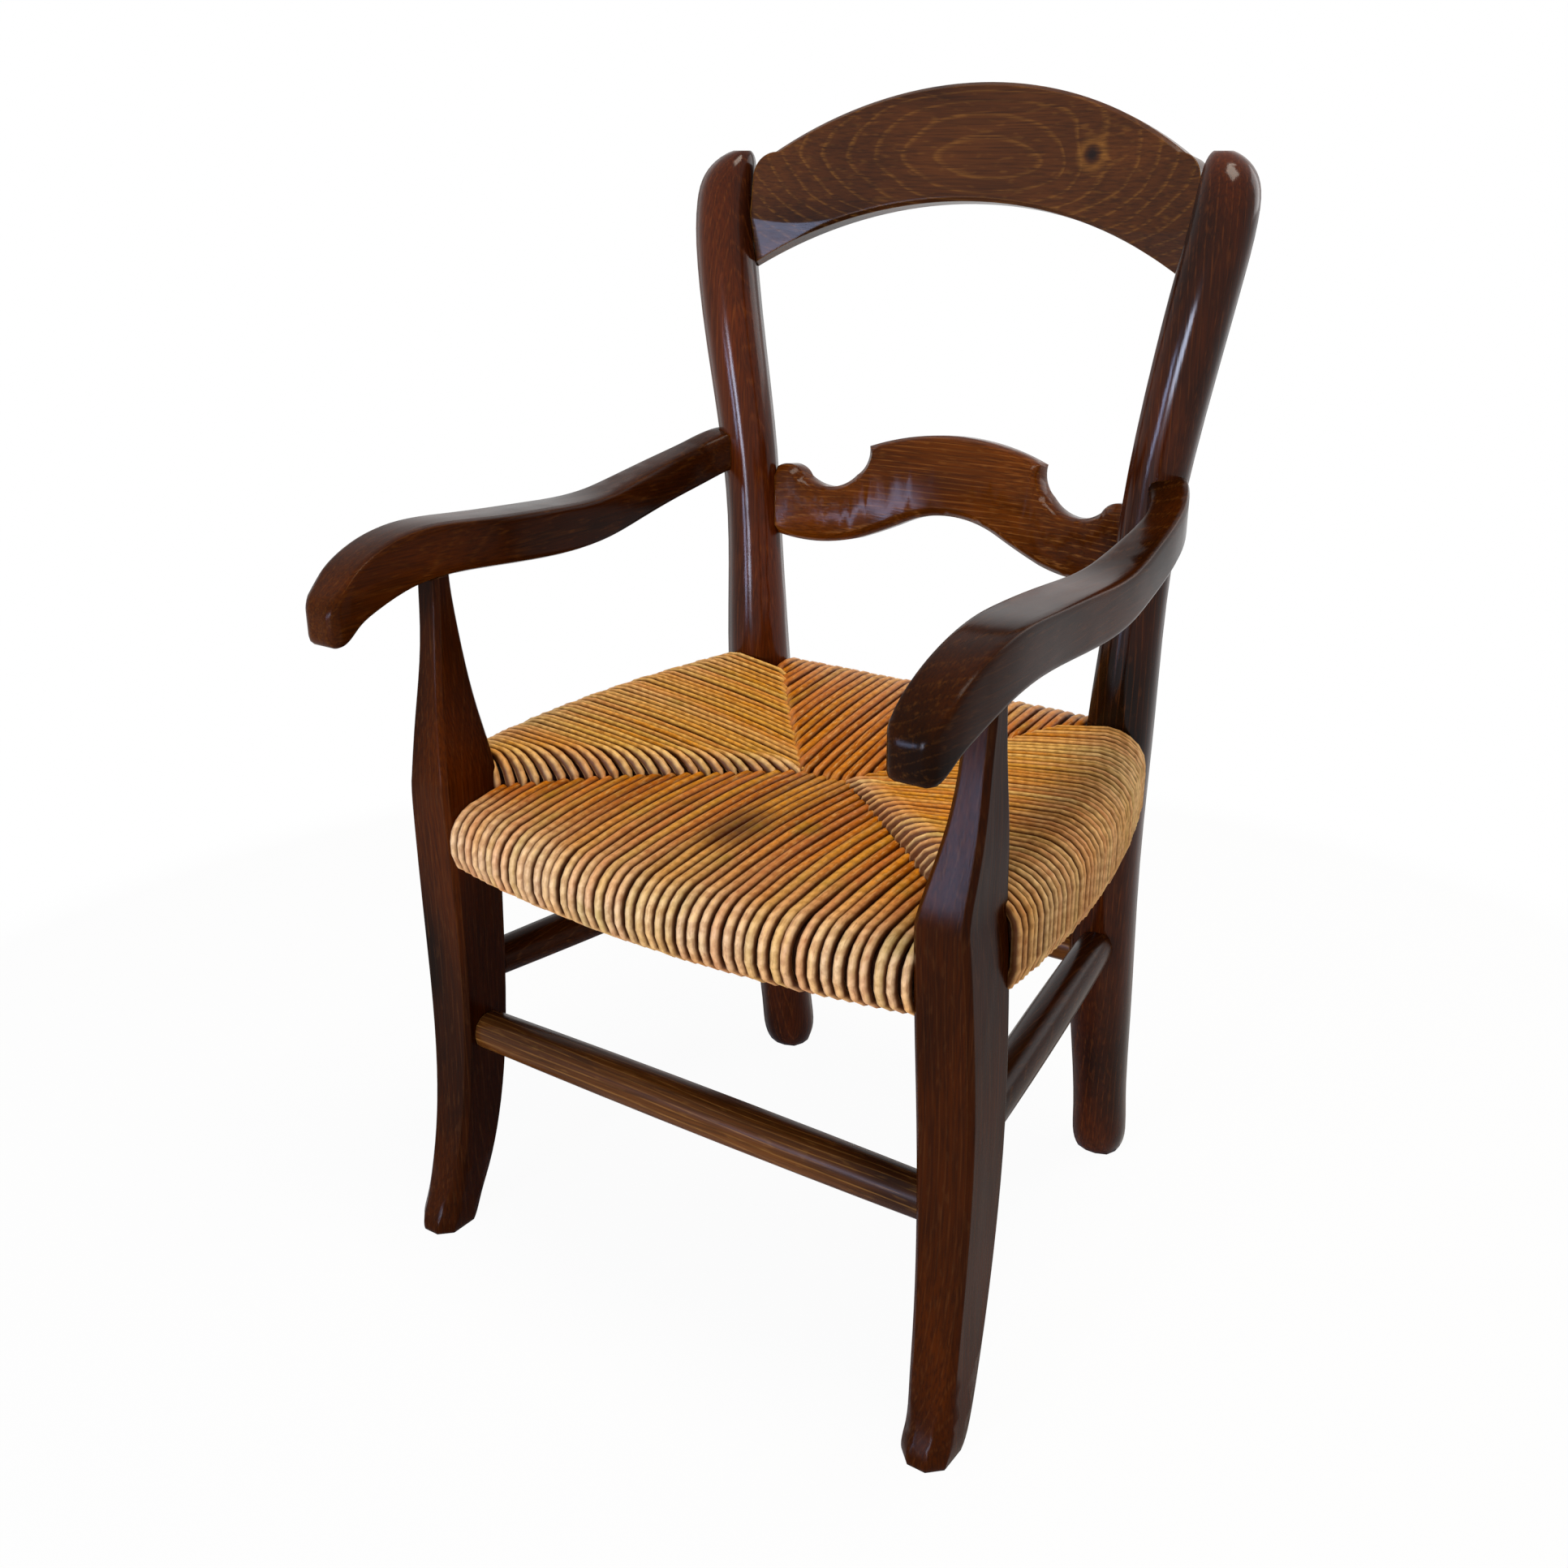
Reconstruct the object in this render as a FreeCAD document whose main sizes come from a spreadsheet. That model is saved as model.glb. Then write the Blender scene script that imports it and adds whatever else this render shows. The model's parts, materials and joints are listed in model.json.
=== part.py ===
import FreeCAD, Part
import math
import os
import Sketcher

# A low rush-seated armchair for a child, in the French country manner.  Millimetres, +Z up.
# The origin lies on the floor under the middle of the chair, which faces -Y.
# Left is -X and right is +X, as the chair is seen from the front.

# Driving sizes.  Each one is a cell of the sheet, and the features below are bound to it.
SIZES = [
    ("post_height", 600.5, "top of the rear posts above the floor"),
    ("post_width", 37.5, "rear post, where it is thickest at the seat"),
    ("post_half_spread", 121.0, "rear feet, middle of the chair to the middle of a foot"),
    ("post_setback", 162.5, "rear feet, origin to the middle of a foot"),
    ("post_arris", 14.0, "rounding of the posts' corners, where the post is thickest"),
    ("leg_height", 398.0, "front legs, floor to the end inside the arm"),
    ("leg_knee_height", 281.0, "front legs, floor to the crisp knee"),
    ("leg_width", 31.0, "front leg, across"),
    ("leg_depth", 42.0, "front leg, front to back at the knee"),
    ("leg_half_spread", 166.0, "front feet, middle of the chair to the middle of a foot"),
    ("leg_forward", 133.0, "front feet, origin to the middle of a foot"),
    ("leg_arris", 2.6, "rounding of the front legs' corners"),
    ("foot_arris", 7.0, "rounding of the front legs' corners where they meet the floor"),
    ("arm_length", 322.0, "arm, nose to the end inside the post"),
    ("arm_end_setback", 137.5, "origin to the arm's end inside the post"),
    ("arm_width", 31.0, "arm, at its widest"),
    ("arm_thickness", 29.0, "arm, top to bottom"),
    ("arm_height", 402.0, "arm, floor to its middle line"),
    ("arm_half_spread", 171.5, "middle of the chair to the middle of the arm at the nose"),
    ("arm_arris", 4.0, "rounding of the arm's corners"),
    ("crest_half_length", 139.5, "crest rail, middle to the shoulder"),
    ("crest_end_height", 536.5, "floor to the crest rail's lower ends"),
    ("crest_tall", 103.5, "crest rail, lower ends to the top of the arch, along the board"),
    ("crest_top_rise", 47.0, "rise of the crest rail's upper arch"),
    ("crest_underside_rise", 40.6, "rise of the crest rail's lower arch"),
    ("crest_thickness", 15.0, "crest rail board"),
    ("crest_bow", 14.0, "how far the crest rail bows back in its middle"),
    ("crest_front_setback", 140.0, "origin to the crest rail's front face at its lower ends"),
    ("crest_arris", 2.0, "flat along the crest rail's long edges"),
    ("crest_corner", 11.0, "rounding of the crest rail's upper corners"),
    ("crest_facet_length", 46.0, "flat worked on the lower corner of each end, along the rail"),
    ("crest_facet_height", 27.0, "the same flat, up the rail's end"),
    ("crest_facet_depth", 5.5, "the same flat, depth of the cut at the corner"),
    ("back_lean", 9.5, "lean of the crest rail, in degrees"),
    ("mid_half_length", 118.0, "middle rail, middle to the shoulder"),
    ("mid_underside_height", 374.0, "floor to the lowest point of the middle rail"),
    ("mid_rise", 72.0, "middle rail, lowest point to the crown, along the board"),
    ("mid_thickness", 17.0, "middle rail board"),
    ("mid_bow", 12.0, "how far the middle rail bows back in its middle"),
    ("mid_front_setback", 132.0, "origin to the middle rail's front face at its ends"),
    ("mid_arris", 5.0, "flat along the sawn edges of the middle rail's front"),
    ("mid_back_arris", 2.0, "flat along the sawn edges of the middle rail's back"),
    ("mid_lean", 7.0, "lean of the middle rail, in degrees"),
    ("seat_rail_width", 20.0, "seat rails, across"),
    ("front_rail_tall", 20.0, "front seat rail, top to bottom"),
    ("front_rail_height", 248.0, "floor to the middle of the front seat rail"),
    ("front_rail_forward", 105.0, "origin to the front seat rail's middle line at the legs"),
    ("front_rail_bow", 22.0, "how far the front seat rail bows forward"),
    ("side_rail_tall", 33.0, "side seat rails, top to bottom"),
    ("side_rail_height", 262.0, "floor to the middle of a side seat rail at the leg"),
    ("side_rail_climb", 10.5, "how much higher a side seat rail is at the rear post"),
    ("side_rail_front_half", 158.5, "middle of the chair to a side seat rail at the leg"),
    ("side_rail_rear_half", 128.5, "middle of the chair to a side seat rail at the post"),
    ("side_rail_bow", 11.0, "how far a side seat rail bows outward"),
    ("rear_rail_tall", 22.0, "rear seat rail, top to bottom"),
    ("rear_rail_height", 273.0, "floor to the middle of the rear seat rail"),
    ("rear_rail_setback", 135.0, "origin to the rear seat rail's middle line"),
    ("rail_arris", 5.0, "rounding of the seat rails"),
    ("rush_wrap", 6.0, "thickness of the rush round a seat rail"),
    ("rush_corner", 13.0, "rounding of the rush where it turns over a rail"),
    ("rush_bite", 4.0, "how far the rush runs into a leg or post before its place is cut out"),
    ("seat_middle_height", 268.0, "floor to the top of the rush at the middle of the seat"),
    ("seat_middle_thickness", 24.0, "rush and stuffing at the middle of the seat"),
    ("seat_crown", 3.5, "how far each field of rush swells above a straight line"),
    ("seam_half_length", 16.0, "middle seam, middle of the chair to its end"),
    ("seam_setback", 19.0, "origin to the middle seam"),
    ("front_bar_height", 125.0, "floor to the front stretcher's middle line"),
    ("front_bar_forward", 110.0, "origin to the front stretcher's middle line"),
    ("front_bar_width", 23.5, "front stretcher, at its middle"),
    ("side_bar_height", 159.0, "floor to the side stretchers' middle lines"),
    ("side_bar_width", 22.0, "side stretcher, at its middle"),
    ("rear_bar_height", 144.0, "floor to the rear stretcher's middle line"),
    ("rear_bar_width", 20.5, "rear stretcher, at its middle"),
    ("bar_end_slim", 2.6, "how much slimmer a stretcher is at its ends"),
    ("round_tenon", 13.0, "diameter of the stretchers' tenons"),
    ("flat_tenon", 8.0, "thickness of the back rails' tenons"),
    ("tenon_tall", 13.0, "height of a seat rail's tenon; the back rails' are twice as tall"),
    ("arm_tenon", 9.0, "diameter of the tenon between a front leg and its arm"),
    ("tenon_reach", 13.0, "depth of a tenon in its mortise"),
    ("joint_gap", 0.2, "clearance between a piece and what it is fitted to"),
    ("cut_overrun", 30.0, "how far a cutting shape runs past what it cuts"),
    ("edge_near", 0.05, "how near to a face an edge lies that is picked by that face"),
]
SIZE = {alias: number for alias, number, note in SIZES}

# The rear posts are sawn to a curve, so their sections are given by height:
# shares of the post's height, half spread, setback and width.
POST_SHARES = [
    (0.0, 1.0, 1.0, 0.68),
    (0.012, 1.0, 0.994, 0.81),
    (0.045, 1.001, 0.977, 0.86),
    (0.18, 1.002, 0.904, 0.96),
    (0.36, 1.012, 0.839, 1.0),
    (0.50, 1.042, 0.816, 0.965),
    (0.633, 1.074, 0.827, 0.83),
    (0.70, 1.102, 0.831, 0.84),
    (0.833, 1.204, 0.837, 0.896),
    (0.90, 1.260, 0.855, 0.90),
    (0.95, 1.291, 0.883, 0.86),
    (0.98, 1.282, 0.908, 0.735),
    (0.994, 1.256, 0.923, 0.50),
    (1.0, 1.236, 0.930, 0.25),
]
# Front legs below the knee: shares of the knee height, half spread, forward place,
# width and depth, and how much of the foot's rounding there is.
LEG_SHARES = [
    (0.0, 1.003, 1.014, 0.78, 0.725, 1.0),
    (0.02, 1.003, 1.003, 0.83, 0.765, 0.95),
    (0.05, 1.003, 0.976, 0.825, 0.75, 0.8),
    (0.11, 0.996, 0.932, 0.82, 0.745, 0.45),
    (0.215, 0.986, 0.879, 0.84, 0.77, 0.15),
    (0.43, 0.977, 0.828, 0.925, 0.812, 0.0),
    (0.645, 0.972, 0.822, 1.0, 0.857, 0.0),
    (0.86, 0.962, 0.832, 0.985, 0.935, 0.0),
    (0.94, 0.958, 0.836, 0.95, 0.97, 0.0),
    (1.0, 0.954, 0.839, 0.90, 0.985, 0.0),
]
# Above the knee: shares of the way from the knee to the end, then as before.
UPPER_LEG_SHARES = [
    (0.0, 0.954, 0.839, 0.90, 0.985),
    (0.16, 0.965, 0.833, 0.787, 0.862),
    (0.34, 0.980, 0.824, 0.66, 0.688),
    (0.55, 0.988, 0.817, 0.54, 0.515),
    (0.76, 0.991, 0.819, 0.51, 0.37),
    (1.0, 0.991, 0.820, 0.48, 0.29),
]
# Arms: shares of the length from the nose, half spread, height, width and thickness.
ARM_SHARES = [
    (0.0, 0.990, 0.943, 0.50, 0.52),
    (0.008, 0.990, 0.946, 0.72, 0.84),
    (0.023, 0.991, 0.952, 0.80, 0.945),
    (0.054, 0.997, 0.970, 0.85, 0.99),
    (0.092, 1.001, 0.985, 0.868, 1.03),
    (0.185, 1.0, 1.005, 0.91, 1.017),
    (0.325, 0.973, 1.006, 1.0, 0.94),
    (0.48, 0.956, 0.999, 0.997, 0.948),
    (0.635, 0.950, 1.001, 0.887, 0.883),
    (0.713, 0.945, 1.012, 0.79, 0.876),
    (0.837, 0.928, 1.033, 0.66, 0.88),
    (0.90, 0.900, 1.047, 0.68, 0.85),
    (1.0, 0.815, 1.062, 0.74, 0.78),
]
# Middle rail, half of its outline from the post to the middle of the chair:
# shares of its half length, and of its rise above its lowest point.
MID_HUMP_SHARES = [(1.0, 0.60), (0.93, 0.635), (0.845, 0.545)]
MID_VALLEY_SHARES = [(0.845, 0.545), (0.70, 0.475), (0.545, 0.60)]
MID_NOTCH_SHARES = [(0.545, 0.60), (0.495, 0.70), (0.485, 0.85)]
MID_CROWN_SHARES = [(0.485, 0.85), (0.25, 0.96), (0.0, 1.0)]
MID_BELLY_SHARES = [(1.0, 0.045), (0.79, 0.0), (0.53, 0.066)]
MID_SWEEP_SHARES = [(0.53, 0.066), (0.40, 0.152), (0.27, 0.250)]
MID_ARCH_SHARES = [(0.27, 0.250), (0.0, 0.350)]
# Where the sections of the rush fields stand, as shares of a rail's half length.
FIELD_SHARES = (-1.05, -0.5, 0.0, 0.5, 1.05)
# Width and depth of a front leg where the front seat rail enters it.
LEG_AT_SEAT_SHARES = (0.96, 0.94)
# Where a turned bar's outline is measured, as shares of its length.
BAR_SHARES = (0.0, 0.5, 1.0)
# Corner of a turned bar's section, as a share of its width.
BAR_CORNER_SHARE = 0.42
# How many narrow flats ease each corner of a section.
POST_FLATS = 2
BAR_FLATS = 3
ARM_FLATS = 2
LEG_FLATS = 1
RUSH_FLATS = 3
# How many straight lines draw the swell of a rush field.
CROWN_FLATS = 4
# In how many places an edge is measured to tell which face it runs along.
EDGE_PLACES = 5

DOC = FreeCAD.newDocument("child_armchair")
SHEET = DOC.addObject("Spreadsheet::Sheet", "Dims")
NODES = []


def fill_sheet():
    """Writes every driving size into its own named cell."""
    for row, (alias, number, note) in enumerate(SIZES, start=1):
        SHEET.set("A%d" % row, note)
        SHEET.set("B%d" % row, str(number))
        SHEET.setAlias("B%d" % row, alias)
    DOC.recompute()


def amount(terms):
    """The length that a sum of shares of named sizes comes to."""
    return sum(share * SIZE[alias] for alias, share in terms.items())


def formula(terms):
    """The same sum as an expression on the sheet."""
    return " + ".join("%.6g * Dims.%s" % (share, alias) for alias, share in terms.items())


def origin_plane(body, role):
    return next(item for item in body.Origin.OriginFeatures if item.Role == role)


def new_sketch(body, name, role, offset):
    """A sketch on one of the body's own planes, moved by three bound sums."""
    sketch = body.newObject("Sketcher::SketchObject", name)
    sketch.AttachmentSupport = [(origin_plane(body, role), "")]
    sketch.MapMode = "FlatFace"
    for axis, terms in zip("xyz", offset):
        if terms:
            sketch.setExpression("AttachmentOffset.Base." + axis, formula(terms))
    return sketch


def eased_section(body, name, role, offset, wide, tall, corner, flats):
    """A rectangle about the sketch's own origin, each corner eased in a few narrow flats."""
    sketch = new_sketch(body, name, role, offset)
    half_wide = amount(wide) / 2
    half_tall = amount(tall) / 2
    radius = amount(corner)
    step = math.pi / 2 / flats
    points = []
    slopes = []
    for turn, (across, up) in enumerate(((1, -1), (1, 1), (-1, 1), (-1, -1))):
        middle = vector(across * (half_wide - radius), up * (half_tall - radius), 0)
        begin = math.pi / 2 * (turn - 1)
        for index in range(flats + 1):
            angle = begin + index * step
            points.append(middle + vector(math.cos(angle), math.sin(angle), 0) * radius)
            slopes.append(angle + step / 2 + math.pi / 2)
    count = len(points)
    sketch.addGeometry(
        [Part.LineSegment(points[index], points[(index + 1) % count]) for index in range(count)],
        False,
    )
    rules = [Sketcher.Constraint("Coincident", index, 2, (index + 1) % count, 1)
             for index in range(count)]
    narrow = []
    for index in range(count):
        corner_number, place = divmod(index, flats + 1)
        if place == flats:
            rules.append(Sketcher.Constraint(("Vertical", "Horizontal")[corner_number % 2], index))
        else:
            narrow.append(index)
            rules.append(Sketcher.Constraint("Angle", index, slopes[index]))
    rules += [Sketcher.Constraint("Equal", narrow[0], index) for index in narrow[1:]]
    bottom, right, top, left = count - 1, flats, 2 * flats + 1, 3 * flats + 2
    rules.append(Sketcher.Constraint("Symmetric", bottom, 1, top, 1, -1, 1))
    sketch.addConstraint(rules)
    for label, rule, terms in (
        ("wide", Sketcher.Constraint("DistanceX", left, 1, right, 1, 2 * half_wide), wide),
        ("tall", Sketcher.Constraint("DistanceY", bottom, 1, top, 1, 2 * half_tall), tall),
        ("corner", Sketcher.Constraint("DistanceX", bottom, 2, right, 1, radius), corner),
    ):
        place = sketch.addConstraint(rule)
        sketch.renameConstraint(place, label)
        sketch.setExpression("Constraints." + label, formula(terms))
    return sketch


def loft(body, name, sections):
    """A smooth skin through the sections, added to the body."""
    feature = body.newObject("PartDesign::AdditiveLoft", name)
    feature.Profile = sections[0]
    feature.Sections = sections[1:]
    feature.Ruled = False
    return feature


def new_body(name):
    body = DOC.addObject("PartDesign::Body", name)
    body.Label = name
    return body


def swell(terms, gap):
    """A width enlarged by a gap on both sides, for the shape that cuts a neighbour."""
    grown = dict(terms)
    if gap:
        grown["joint_gap"] = 2 * gap
    return grown


def rear_post(name, side, gap=0):
    """One sawn and rounded rear post, which runs from the floor to its head."""
    body = new_body(name)
    sections = []
    for number, (rise, spread, back, girth) in enumerate(POST_SHARES):
        offset = (
            {"post_half_spread": side * spread},
            {"post_setback": back},
            {"post_height": rise},
        )
        wide = swell({"post_width": girth}, gap)
        corner = {"post_arris": girth}
        sections.append(
            eased_section(
                body, "%s_%d" % (name, number), "XY_Plane", offset, wide, wide, corner, POST_FLATS
            )
        )
    loft(body, name + "_loft", sections)
    return body


def front_leg(name, side, gap=0):
    """One front leg: a sabre foot up to the knee, and a taper from there to the arm."""
    body = new_body(name)
    parts = []
    for number, (rise, spread, ahead, across, deep, foot) in enumerate(LEG_SHARES):
        height = {"leg_knee_height": rise}
        corner = {"leg_arris": 1 - foot, "foot_arris": foot}
        parts.append(("foot%d" % number, height, spread, ahead, across, deep, corner))
    for number, (rise, spread, ahead, across, deep) in enumerate(UPPER_LEG_SHARES):
        height = {"leg_knee_height": 1 - rise, "leg_height": rise}
        corner = {"leg_arris": 1.0}
        parts.append(("neck%d" % number, height, spread, ahead, across, deep, corner))
    sections = []
    for label, height, spread, ahead, across, deep, corner in parts:
        offset = ({"leg_half_spread": side * spread}, {"leg_forward": -ahead}, height)
        wide = swell({"leg_width": across}, gap)
        tall = swell({"leg_depth": deep}, gap)
        sections.append(
            eased_section(
                body, name + "_" + label, "XY_Plane", offset, wide, tall, corner, LEG_FLATS
            )
        )
    loft(body, name + "_lower", sections[: len(LEG_SHARES)])
    loft(body, name + "_upper", sections[len(LEG_SHARES):])
    return body


def arm_blank(name, side, gap=0):
    """One shaped arm, from its drooping nose to the post."""
    body = new_body(name)
    sections = []
    for number, (along, spread, high, across, thick) in enumerate(ARM_SHARES):
        offset = (
            {"arm_half_spread": side * spread},
            {"arm_height": high},
            {"arm_length": 1 - along, "arm_end_setback": -1.0},
        )
        wide = swell({"arm_width": across}, gap)
        tall = swell({"arm_thickness": thick}, gap)
        sections.append(
            eased_section(
                body, "%s_%d" % (name, number), "XZ_Plane", offset, wide, tall,
                {"arm_arris": 1.0}, ARM_FLATS
            )
        )
    loft(body, name + "_loft", sections)
    return body


def vector(x, y, z):
    return FreeCAD.Vector(x, y, z)


def along(start, end):
    """The placement that lays a shape's own Z axis on the line from start to end."""
    turn = FreeCAD.Rotation(vector(0, 0, 1), end - start)
    return FreeCAD.Placement(start, turn)


def stretcher_bar(name, start, end, width_alias):
    """A bar worked round and fullest at its middle, from the core of one leg to the next."""
    body = new_body(name)
    length = (end - start).Length
    sections = []
    for share in BAR_SHARES:
        slim = (1 - 2 * share) ** 2
        wide = {width_alias: 1.0, "bar_end_slim": -slim}
        corner = {width_alias: BAR_CORNER_SHARE, "bar_end_slim": -slim * BAR_CORNER_SHARE}
        label = "%s_%d" % (name, BAR_SHARES.index(share))
        sketch = eased_section(
            body, label, "XY_Plane", ({}, {}, {}), wide, wide, corner, BAR_FLATS)
        sketch.AttachmentOffset = FreeCAD.Placement(
            vector(0, 0, share * length), FreeCAD.Rotation())
        sections.append(sketch)
    loft(body, name + "_loft", sections)
    body.Placement = along(start, end)
    return body


def round_core(name, start, end, reach_start, reach_end, gap=0):
    """The round tenons at both ends of a bar, as one rod through it."""
    step = (end - start).normalize()
    tip = start + step * (reach_start - gap * SIZE["joint_gap"])
    far = start + step * (reach_end + gap * SIZE["joint_gap"])
    rod = DOC.addObject("Part::Cylinder", name)
    rod.setExpression("Radius", formula({"round_tenon": 0.5, "joint_gap": gap}))
    rod.Height = (far - tip).Length
    rod.Placement = along(tip, far)
    return rod


def bowed_strip(name, path, deep, tall, gap=0):
    """A seat rail: a strip bowed through three points, with its long edges planed off."""
    arc = Part.Arc(*path).toShape()
    circle = arc.Curve
    start = path[0]
    outward = (start - circle.Center).normalize()
    upward = circle.Axis
    width = deep / 2 + gap * SIZE["joint_gap"]
    height = tall / 2 + gap * SIZE["joint_gap"]
    eased = SIZE["rail_arris"]
    corners = []
    for across, up in ((1, 1), (-1, 1), (-1, -1), (1, -1)):
        pair = [(across * (width - eased), up * height), (across * width, up * (height - eased))]
        corners += pair if across * up < 0 else pair[::-1]
    wire = Part.makePolygon([start + outward * x + upward * z for x, z in corners + corners[:1]])
    turn = math.degrees(arc.LastParameter - arc.FirstParameter)
    rail = DOC.addObject("Part::Feature", name)
    rail.Shape = Part.Face(wire).revolve(circle.Center, circle.Axis, turn)
    return rail


def cut_by(name, base, tools):
    """The base with every tool taken out of it."""
    cut = DOC.addObject("Part::Cut", name)
    cut.Base = base
    cut.Tool = tools[0] if len(tools) == 1 else group_of(name + "_tools", tools)
    return cut


def group_of(name, shapes):
    together = DOC.addObject("Part::Compound", name)
    together.Links = shapes
    return together


def joined(name, shapes):
    whole = DOC.addObject("Part::MultiFuse", name)
    whole.Shapes = shapes
    whole.Refine = True
    return whole


def peg(name, centre, lengths, gap=0, frame=None):
    """A rectangular tenon about its own centre, or with a gap the mortise for it."""
    box = DOC.addObject("Part::Box", name)
    half = []
    for side, terms in zip(("Length", "Width", "Height"), lengths):
        grown = dict(terms, joint_gap=2 * gap) if gap else terms
        box.setExpression(side, formula(grown))
        half.append(amount(grown) / 2)
    corner = FreeCAD.Placement(centre - vector(*half), FreeCAD.Rotation())
    box.Placement = (frame or FreeCAD.Placement()) * corner
    return box


def bow_depth(half, bow, x):
    """How far a bowed board stands back at x, from its front face at the shoulders."""
    radius = (half * half + bow * bow) / (2 * bow)
    return bow - radius + math.sqrt(radius * radius - x * x)


def bowed_board(name, half, bow, thickness, low, high, outline):
    """A board bent in plan and sawn to an outline, in its own upright frame."""
    body = new_body(name)
    plan = new_sketch(body, name + "_plan", "XY_Plane", ({}, {}, low))
    front = [vector(x, bow_depth(half, bow, x), 0) for x in (-half, 0, half)]
    rear = [point + vector(0, thickness, 0) for point in front]
    plan.addGeometry([
        Part.Arc(*front),
        Part.LineSegment(front[2], rear[2]),
        Part.Arc(*rear[::-1]),
        Part.LineSegment(rear[0], front[0]),
    ], False)
    blank = body.newObject("PartDesign::Pad", name + "_blank")
    blank.Profile = plan
    blank.Length = amount(high) - amount(low)
    sawn = new_sketch(body, name + "_outline", "XZ_Plane", ({}, {}, {}))
    reach = half + SIZE["cut_overrun"]
    bottom = amount(low) - SIZE["cut_overrun"]
    top = amount(high) + SIZE["cut_overrun"]
    frame = [vector(-reach, bottom, 0), vector(reach, bottom, 0),
             vector(reach, top, 0), vector(-reach, top, 0)]
    sides = [Part.LineSegment(frame[index - 1], frame[index]) for index in range(len(frame))]
    sawn.addGeometry(sides + outline, False)
    saw = body.newObject("PartDesign::Pocket", name + "_sawn")
    saw.Profile = sawn
    saw.Type = "ThroughAll"
    saw.Midplane = True
    return body


def leaning(height_alias, setback_alias, lean_alias):
    """The frame of a back rail: up to its own foot, back to its face, and leaning."""
    foot = vector(0, SIZE[setback_alias], SIZE[height_alias])
    return FreeCAD.Placement(foot, FreeCAD.Rotation(vector(1, 0, 0), -SIZE[lean_alias]))


def crest_outline():
    """Both arches of the crest rail, its ends and its rounded upper corners."""
    half = SIZE["crest_half_length"]
    rise = SIZE["crest_underside_rise"]
    high = SIZE["crest_tall"]
    shoulder = high - SIZE["crest_top_rise"]
    corner = SIZE["crest_corner"]
    radius = (half * half + SIZE["crest_top_rise"] ** 2) / (2 * SIZE["crest_top_rise"])
    inner = half - corner
    meet = high - radius + math.sqrt(radius * radius - inner * inner)
    turn = vector(half - corner / 4, (shoulder + meet) / 2 - corner / 8, 0)
    lower = shoulder - corner / 2
    mirror = vector(-turn.x, turn.y, 0)
    return [
        Part.Arc(vector(-half, 0, 0), vector(0, rise, 0), vector(half, 0, 0)),
        Part.LineSegment(vector(half, 0, 0), vector(half, lower, 0)),
        Part.Arc(vector(half, lower, 0), turn, vector(inner, meet, 0)),
        Part.Arc(vector(inner, meet, 0), vector(0, high, 0), vector(-inner, meet, 0)),
        Part.Arc(vector(-inner, meet, 0), mirror, vector(-half, lower, 0)),
        Part.LineSegment(vector(-half, lower, 0), vector(-half, 0, 0)),
    ]


def mid_outline():
    """The carved middle rail: crown, notches, humps and the swept underside."""
    half = SIZE["mid_half_length"]
    rise = SIZE["mid_rise"]

    def at(place, side):
        return vector(side * place[0] * half, place[1] * rise, 0)

    shapes = []
    for side in (1, -1):
        for curve in (MID_HUMP_SHARES, MID_VALLEY_SHARES, MID_NOTCH_SHARES, MID_CROWN_SHARES,
                      MID_BELLY_SHARES, MID_SWEEP_SHARES):
            shapes.append(Part.Arc(*(at(place, side) for place in curve)))
        shapes.append(Part.LineSegment(at(MID_HUMP_SHARES[0], side), at(MID_BELLY_SHARES[0], side)))
    foot, top = MID_ARCH_SHARES
    shapes.append(Part.Arc(at(foot, 1), at(top, 1), at(foot, -1)))
    return shapes


def crest_board(name):
    half = SIZE["crest_half_length"]
    thickness = SIZE["crest_thickness"]
    high = {"crest_tall": 1.0, "crest_arris": 1.0}
    low = {"crest_arris": -1.0}
    return bowed_board(name, half, SIZE["crest_bow"], thickness, low, high, crest_outline())


def facet_tool(name, side, frame):
    """The wedge that leaves a flat on a lower corner of the crest rail's front face."""
    half = SIZE["crest_half_length"]
    deep = SIZE["crest_facet_depth"]
    over = SIZE["cut_overrun"]
    inner = half - SIZE["crest_facet_length"]
    upper = SIZE["crest_facet_height"]
    bow = SIZE["crest_bow"]
    edge_high = vector(side * half, bow_depth(half, bow, half), upper)
    edge_low = vector(side * inner, bow_depth(half, bow, inner), upper)
    corner = vector(side * half, bow_depth(half, bow, half) + deep, 0)
    normal = (edge_low - edge_high).cross(corner - edge_high).normalize()
    if normal.y > 0:
        normal = normal * -1
    wedge = DOC.addObject("Part::Box", name)
    wedge.Length = 4 * over
    wedge.Width = 4 * over
    wedge.Height = over
    turn = FreeCAD.Rotation(vector(0, 0, 1), normal)
    shift = turn.multVec(vector(-2 * over, -2 * over, 0))
    wedge.Placement = frame * FreeCAD.Placement(edge_high + shift, turn)
    return wedge


def eased_edges(name, base, arris_alias, choose):
    """A narrow flat along every edge that the test picks."""
    DOC.recompute()
    flat = DOC.addObject("Part::Chamfer", name)
    flat.Base = base
    wide = SIZE[arris_alias]
    picked = [number for number, edge in enumerate(base.Shape.Edges, start=1) if choose(edge)]
    flat.Edges = [(number, wide, wide) for number in picked]
    return flat


def place_on_arm(side, share_row):
    """A point of the arm's middle line."""
    run, spread, high, _, _ = share_row
    return vector(
        side * spread * SIZE["arm_half_spread"],
        SIZE["arm_end_setback"] - (1 - run) * SIZE["arm_length"],
        high * SIZE["arm_height"],
    )


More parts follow.
